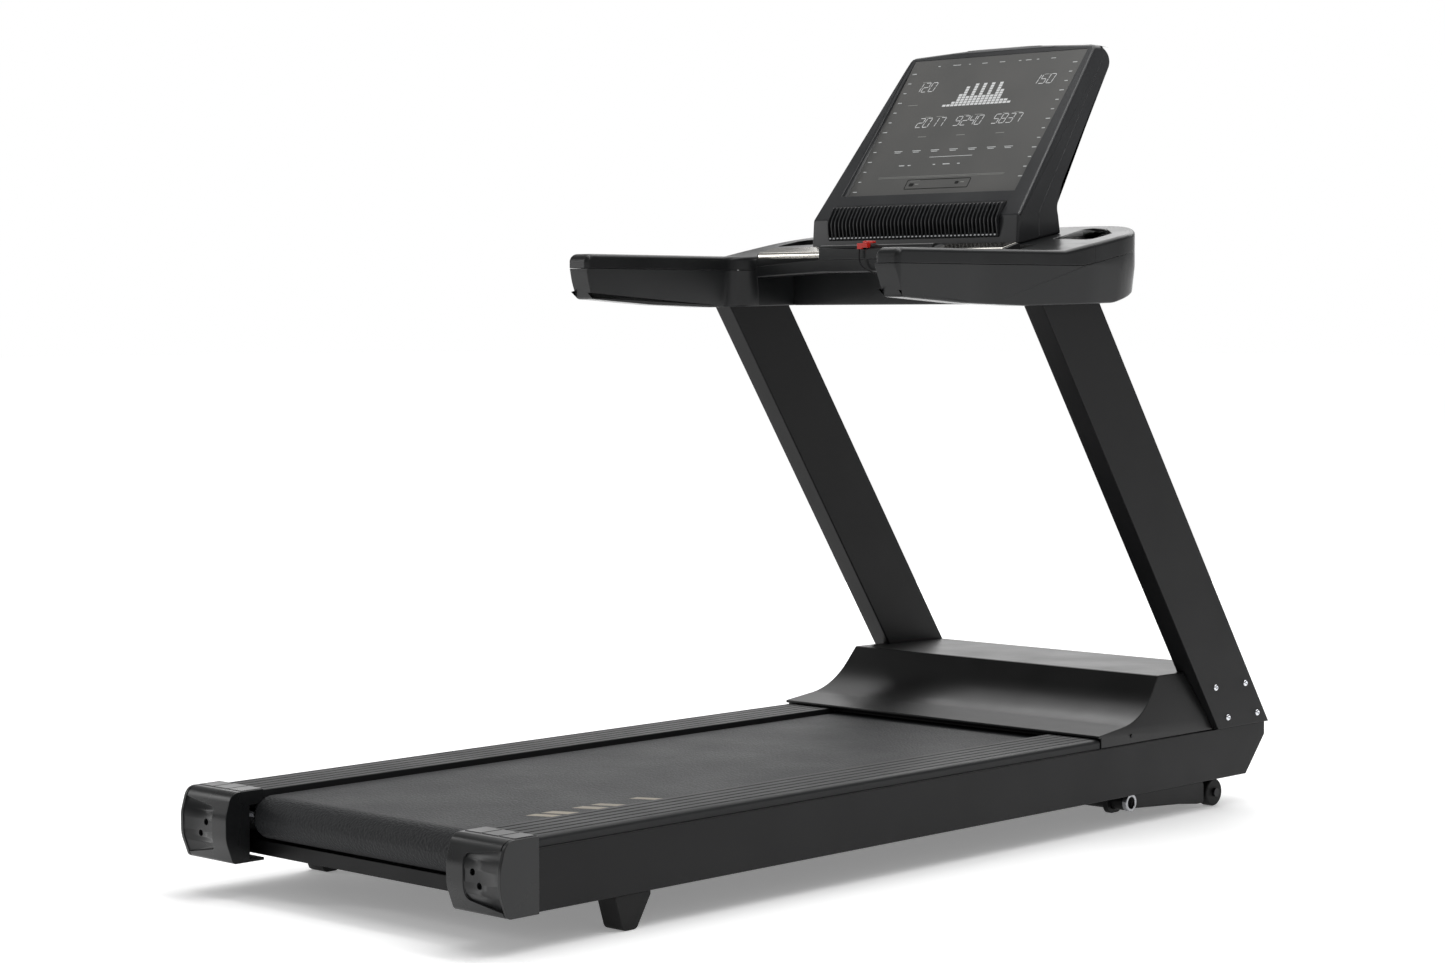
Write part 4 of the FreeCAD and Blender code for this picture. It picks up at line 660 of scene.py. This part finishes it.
lit_segment = ink("lit_segment", "c4c5c5", glow=0.25)
lit_block = ink("lit_graph_block", "c2c3c3", glow=0.25)
# The printed legends glow faintly: painted light that makes the print read brighter than its ink.
legend_ink_painted_glow = ink("legend_ink_painted_glow", "b8baba", glow=0.1)
faint_ink = ink("faint_ink", "8a8b88")
# Near-black print for the tray's rim and its socket holes: painted shade.
painted_tray_shade = ink("painted_tray_shade", "050505")

# %% [markdown]
# ### Digits
# A seven-bar digit is seven strokes. Each stroke is a thin slanted bar, and a table says which strokes
# a numeral lights.

# %% Seven-bar digits
SLANT = 0.2
STROKES = {
    "top": ((0, 2), (1, 2)), "upper_left": ((0, 1), (0, 2)), "upper_right": ((1, 1), (1, 2)),
    "middle": ((0, 1), (1, 1)), "lower_left": ((0, 0), (0, 1)), "lower_right": ((1, 0), (1, 1)),
    "foot": ((0, 0), (1, 0)),
}
NUMERALS = {
    "0": "top upper_left upper_right lower_left lower_right foot",
    "1": "upper_right lower_right",
    "2": "top upper_right middle lower_left foot",
    "3": "top upper_right middle lower_right foot",
    "4": "upper_left upper_right middle lower_right",
    "5": "top upper_left middle lower_right foot",
    "7": "top upper_right lower_right",
    "8": " ".join(STROKES),
    "9": "top upper_left upper_right middle lower_right foot",
}


def digit_bars(text, across, up, tall, pitch):
    """The bars of a slanted readout centred on a place on the glass."""
    wide = tall * 0.56
    half = tall * 0.03
    bars = []
    left = across - (pitch * (len(text) - 1) + wide) / 2
    for place, numeral in enumerate(text):
        for stroke in NUMERALS[numeral].split():
            (x0, y0), (x1, y1) = STROKES[stroke]
            low = y0 * tall / 2
            high = y1 * tall / 2
            x_low = left + place * pitch + x0 * wide
            x_high = left + place * pitch + x1 * wide
            if low == high:
                gap = half * 1.6
                bar = [(x_low + gap, low - half), (x_high - gap, low - half),
                       (x_high - gap, low + half), (x_low + gap, low + half)]
            else:
                gap = half * 1.6
                bar = [(x_low - half, low + gap), (x_low + half, low + gap),
                       (x_low + half, high - gap), (x_low - half, high - gap)]
            bars.append([(x + SLANT * y, up - tall / 2 + y) for x, y in bar])
    return bars


readouts = []
for text, across, up in (("120", -162, 300), ("150", 146, 302)):
    readouts += digit_bars(text, across, up, 24, 19)
for text, across in (("2017", -100), ("9240", 0), ("5837", 100)):
    readouts += digit_bars(text, across, 202, 24, 18.5)
flat_shapes("display_digits", readouts, lit_segment, "base", "glass_panel", on_glass)

# %% [markdown]
# ### The column graph
# The programme's profile is a graph of small square lamps. One block is the unit, and the graph is its
# columns' heights.

# %% The column graph
BLOCK_ACROSS = 8.6
BLOCK_UP = 5.4
COLUMN_PITCH = 10.6
ROW_PITCH = 6.6
GRAPH_FOOT = 246
COLUMN_HEIGHTS = (1, 1, 2, 5, 8, 4, 9, 4, 9, 4, 9, 4, 9, 6, 2, 2, 1)


def block(across, up, out):
    """A small flat block on the XY plane, in millimetres, with its face a little crowned."""
    mesh = bpy.data.meshes.new("block")
    work = bmesh.new()
    bmesh.ops.create_cube(work, size=1.0)
    bmesh.ops.scale(work, vec=Vector((across, up, out)) * MM, verts=work.verts)
    bmesh.ops.translate(work, vec=Vector((0, 0, out * MM / 2)), verts=work.verts)
    bmesh.ops.bevel(work, geom=list(work.edges), offset=out * MM * 0.35, segments=1, affect="EDGES")
    work.to_mesh(mesh)
    work.free()
    return mesh


blocks = []
for column, count in enumerate(COLUMN_HEIGHTS):
    across = (column - (len(COLUMN_HEIGHTS) - 1) / 2) * COLUMN_PITCH
    for row in range(count):
        blocks.append((on_glass(across, GRAPH_FOOT + row * ROW_PITCH), (GLASS_TILT, 0, 0)))
repeat("display_graph", block(BLOCK_ACROSS, BLOCK_UP, 0.3), blocks, lit_block, "base", "glass_panel")

# %% [markdown]
# ### Legends
# Printed words this small read as short dashes, so they are drawn as dashes: two ladders up the sides,
# a row along the top, a caption over each readout and the key rows below.

# %% Legends
def dash(across, up, wide, tall=1.6):
    """A short bar of print."""
    return [(across - wide / 2, up - tall / 2), (across + wide / 2, up - tall / 2),
            (across + wide / 2, up + tall / 2), (across - wide / 2, up + tall / 2)]


legends = []
faint = []
for step in range(13):
    legends.append(dash(-211, 22 + step * 26.5, 8 if step % 3 else 11, 2.0))
    legends.append(dash(209, 48 + step * 24.5, 8 if step % 3 else 11, 2.0))
TOP_ROW = ((-152, 6), (-104, 20), (-70, 5), (-30, 14), (16, 14), (62, 6), (84, 14), (108, 6), (148, 12))
for across, wide in TOP_ROW:
    legends.append(dash(across, 357, wide))
for across in (-172, 148):
    faint.append(dash(across + 8, 314, 22))
for across in (-102, 0, 102):
    faint.append(dash(across - 10, 217, 14))
    faint.append(dash(across + 22, 217, 20))
    faint.append(dash(across, 164, 22))
for across in (-147, -98, -49, 0, 49, 98, 142):
    legends.append(dash(across, 127, 22))
    legends.append(dash(across, 123.4, 16))
legends.append(dash(2, 108, 112, 1.3))
faint.append(dash(-172, 252, 26))
for across, wide in ((-118, 14), (-98, 8), (-32, 6), (0, 18), (32, 7)):
    legends.append(dash(across, 88, wide, 2.2))
faint.append(dash(0, 58, 330, 0.9))
faint.append(dash(0, 55, 330, 0.9))
legends.append(dash(176, 10, 34, 1.4))
legends.append(dash(-196, 6, 40, 1.4))
flat_shapes("display_legends", legends, legend_ink_painted_glow, "base", "glass_panel", on_glass)
flat_shapes("display_captions", faint, faint_ink, "base", "glass_panel", on_glass)

# %% [markdown]
# ### The tray for small plugs
# Low on the glass a long shallow tray holds two sockets. Its rim is drawn as a flat near-black ring and the
# sockets as near-black ovals: painted shade for the tray's edge and the socket holes.

# %% The tray and its sockets
def oval(across, up, wide, tall, corner, steps=6):
    """A rounded rectangle as a list of points."""
    points = []
    for turn, (sx, sy) in enumerate(((1, 1), (-1, 1), (-1, -1), (1, -1))):
        for step in range(steps + 1):
            angle = math.pi / 2 * (turn + step / steps)
            points.append((across + sx * (wide / 2 - corner) + corner * math.cos(angle),
                           up + sy * (tall / 2 - corner) + corner * math.sin(angle)))
    return points


def ring_of(outer, inner):
    """Quads between two outlines of the same number of points."""
    count = len(outer)
    return [[outer[i], outer[(i + 1) % count], inner[(i + 1) % count], inner[i]] for i in range(count)]


TRAY_UP = 37
# The rim ring and the socket ovals are painted shade, drawn flat instead of a recess and holes.
tray = ring_of(oval(2, TRAY_UP, 166, 25, 3), oval(2, TRAY_UP, 163.6, 22.6, 2))
flat_shapes("tray_rim", tray, painted_tray_shade, "base", "glass_panel", on_glass, thick=0.5)
sockets = [oval(-66, TRAY_UP - 1, 12, 8, 3), oval(52, TRAY_UP + 1, 10, 7, 3)]
flat_shapes("tray_sockets", sockets, painted_tray_shade, "base", "glass_panel", on_glass, thick=0.4)
marks = [dash(-52, TRAY_UP, 9, 2), dash(66, TRAY_UP + 2, 9, 2), dash(-60, TRAY_UP + 9, 26, 1)]
flat_shapes("tray_marks", marks, faint_ink, "base", "glass_panel", on_glass)

# %% [markdown]
# ## Bright beads at the foot of the vents
# Each gap between two fins ends in a tiny bright bead under the grille. The beads are clear plastic, not lamps,
# and their glow is painted light.

# %% Beads between the fins
fins_low, fins_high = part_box("fan_grille")
FIN_GAPS = 44
FIN_PITCH = 10 * MM
bead = block(4.4, 3.0, 1.0)
beads = []
for gap in range(FIN_GAPS):
    across = (gap - (FIN_GAPS - 1) / 2) * FIN_PITCH
    beads.append(((across, fins_low.y + 3.5 * MM, fins_low.z + 4.0 * MM), (math.radians(70), 0, 0)))
# Clear plastic given a glow: painted light that makes each bead bright.
bead_painted_glow_finish = ink("bead_clear_plastic_painted_glow", "b4b6b8", glow=0.15)
repeat("vent_beads", bead, beads, bead_painted_glow_finish, "base", "head_plastic")

# %% [markdown]
# ## The lip beside the belt
# A soft black lip closes the slit between each foot rail and the deck, so that no light comes up beside
# the belt: it is a dark blocker that keeps the slit in painted shade. It is one extruded section, a bar with a
# rounded top, drawn along the rail.

# %% The lips
def extruded(name, section, start, end, finish, body, slot):
    """A closed section of (x, z) points in millimetres, drawn along Y between two places in metres."""
    count = len(section)
    points = [(x * MM, y, z * MM) for y in (start, end) for x, z in section]
    faces = [list(range(count)), [count + item for item in reversed(range(count))]]
    for item in range(count):
        after = (item + 1) % count
        faces.append([item, count + item, count + after, after])
    mesh = bpy.data.meshes.new(name)
    mesh.from_pydata(points, [], faces)
    work = bmesh.new()
    work.from_mesh(mesh)
    bmesh.ops.recalc_face_normals(work, faces=work.faces)
    work.to_mesh(mesh)
    work.free()
    mesh.materials.append(finish)
    made = keep(name, mesh, body, slot)
    print(f"{name}: {len(mesh.polygons)} faces")
    return made


deck_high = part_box("deck_board")[1]
rail_low, rail_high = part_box("right_foot_rail")
inner = deck_high.x / MM + 0.1
outer = rail_low.x / MM - 0.1
foot = rail_low.z / MM
# Each lip is a dark blocker in the slit beside the belt: painted shade.
for side, sign in (("left", -1), ("right", 1)):
    lip = [(inner, foot - 8), (outer, foot - 8), (outer, foot + 3.6), (outer - 0.8, foot + 5.0),
           (inner + 0.8, foot + 5.0), (inner, foot + 3.6)]
    extruded(side + "_rail_lip", [(sign * x, z) for x, z in lip], rail_low.y, rail_high.y, matt_rubber,
             "base", "rubber")

# %% [markdown]
# ## The print on the belt
# A pale print near the right edge of the belt has worn. It is drawn as plain slanted bars, a fraction
# of a millimetre thick, with its ink broken up by the belt's grain.

# %% Worn bars on the belt
belt_low, belt_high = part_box("running_belt")


def on_belt(across, along, out=0.0):
    """A point on the belt's top run: across and along from the machine's middle, in millimetres."""
    return Vector((across * MM, along * MM, belt_high.z + out * MM))


worn_print = grained("worn_belt_print", "777167", "a8a091", 0.6, 1.8, 0.1, gloss=0.3)
BAR_LEFT = 206
BAR_RIGHT = 258
BAR_SLANT = 26
bars = []
for along, reach in ((-800, 24), (-760, 27.6), (-690, 27.6), (-650, 24), (-560, 20.4)):
    bars.append([
        (BAR_LEFT, along - reach), (BAR_RIGHT, along + BAR_SLANT - reach),
        (BAR_RIGHT, along + BAR_SLANT), (BAR_LEFT, along),
    ])
flat_shapes("belt_print", bars, worn_print, "base", "belt_surface", on_belt, thick=0.12)

# %% [markdown]
# ## The safety cord
# The runner clips a thin cord to their clothes; it pulls the red key out if they fall. Here it hangs
# from the key in a shallow loop and its clip rests on the peg under the right grip. A NURBS curve of
# order three follows the route's points smoothly.

# %% The safety cord
CORD_Y = 0.303
CORD_ROUTE = (
    (-0.033, 1.1415), (-0.034, 1.130), (-0.033, 1.116), (-0.025, 1.105), (-0.008, 1.098), (0.014, 1.092),
    (0.044, 1.0865), (0.080, 1.081), (0.120, 1.077), (0.160, 1.0745), (0.196, 1.070), (0.222, 1.069),
    (0.236, 1.073), (0.240, 1.084),
)
CORD_DIAMETER = 0.003

cord_curve = bpy.data.curves.new("safety_cord", "CURVE")
cord_curve.dimensions = "3D"
cord_curve.bevel_depth = CORD_DIAMETER / 2
cord_curve.bevel_resolution = 4
cord_curve.resolution_u = 12
cord_curve.use_fill_caps = True
line = cord_curve.splines.new("NURBS")
line.points.add(len(CORD_ROUTE) - 1)
for point, (x, z) in zip(line.points, CORD_ROUTE):
    point.co = (x, CORD_Y, z, 1.0)
line.order_u = 3
line.use_endpoint_u = True
cord_curve.materials.append(braid)
cord = bpy.data.objects.new("safety_cord", cord_curve)
bpy.context.scene.collection.objects.link(cord)
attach(cord, "safety_key_body")
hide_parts("lanyard")
clip = rounded("lanyard_clip", all_round(0.5), steps=1)
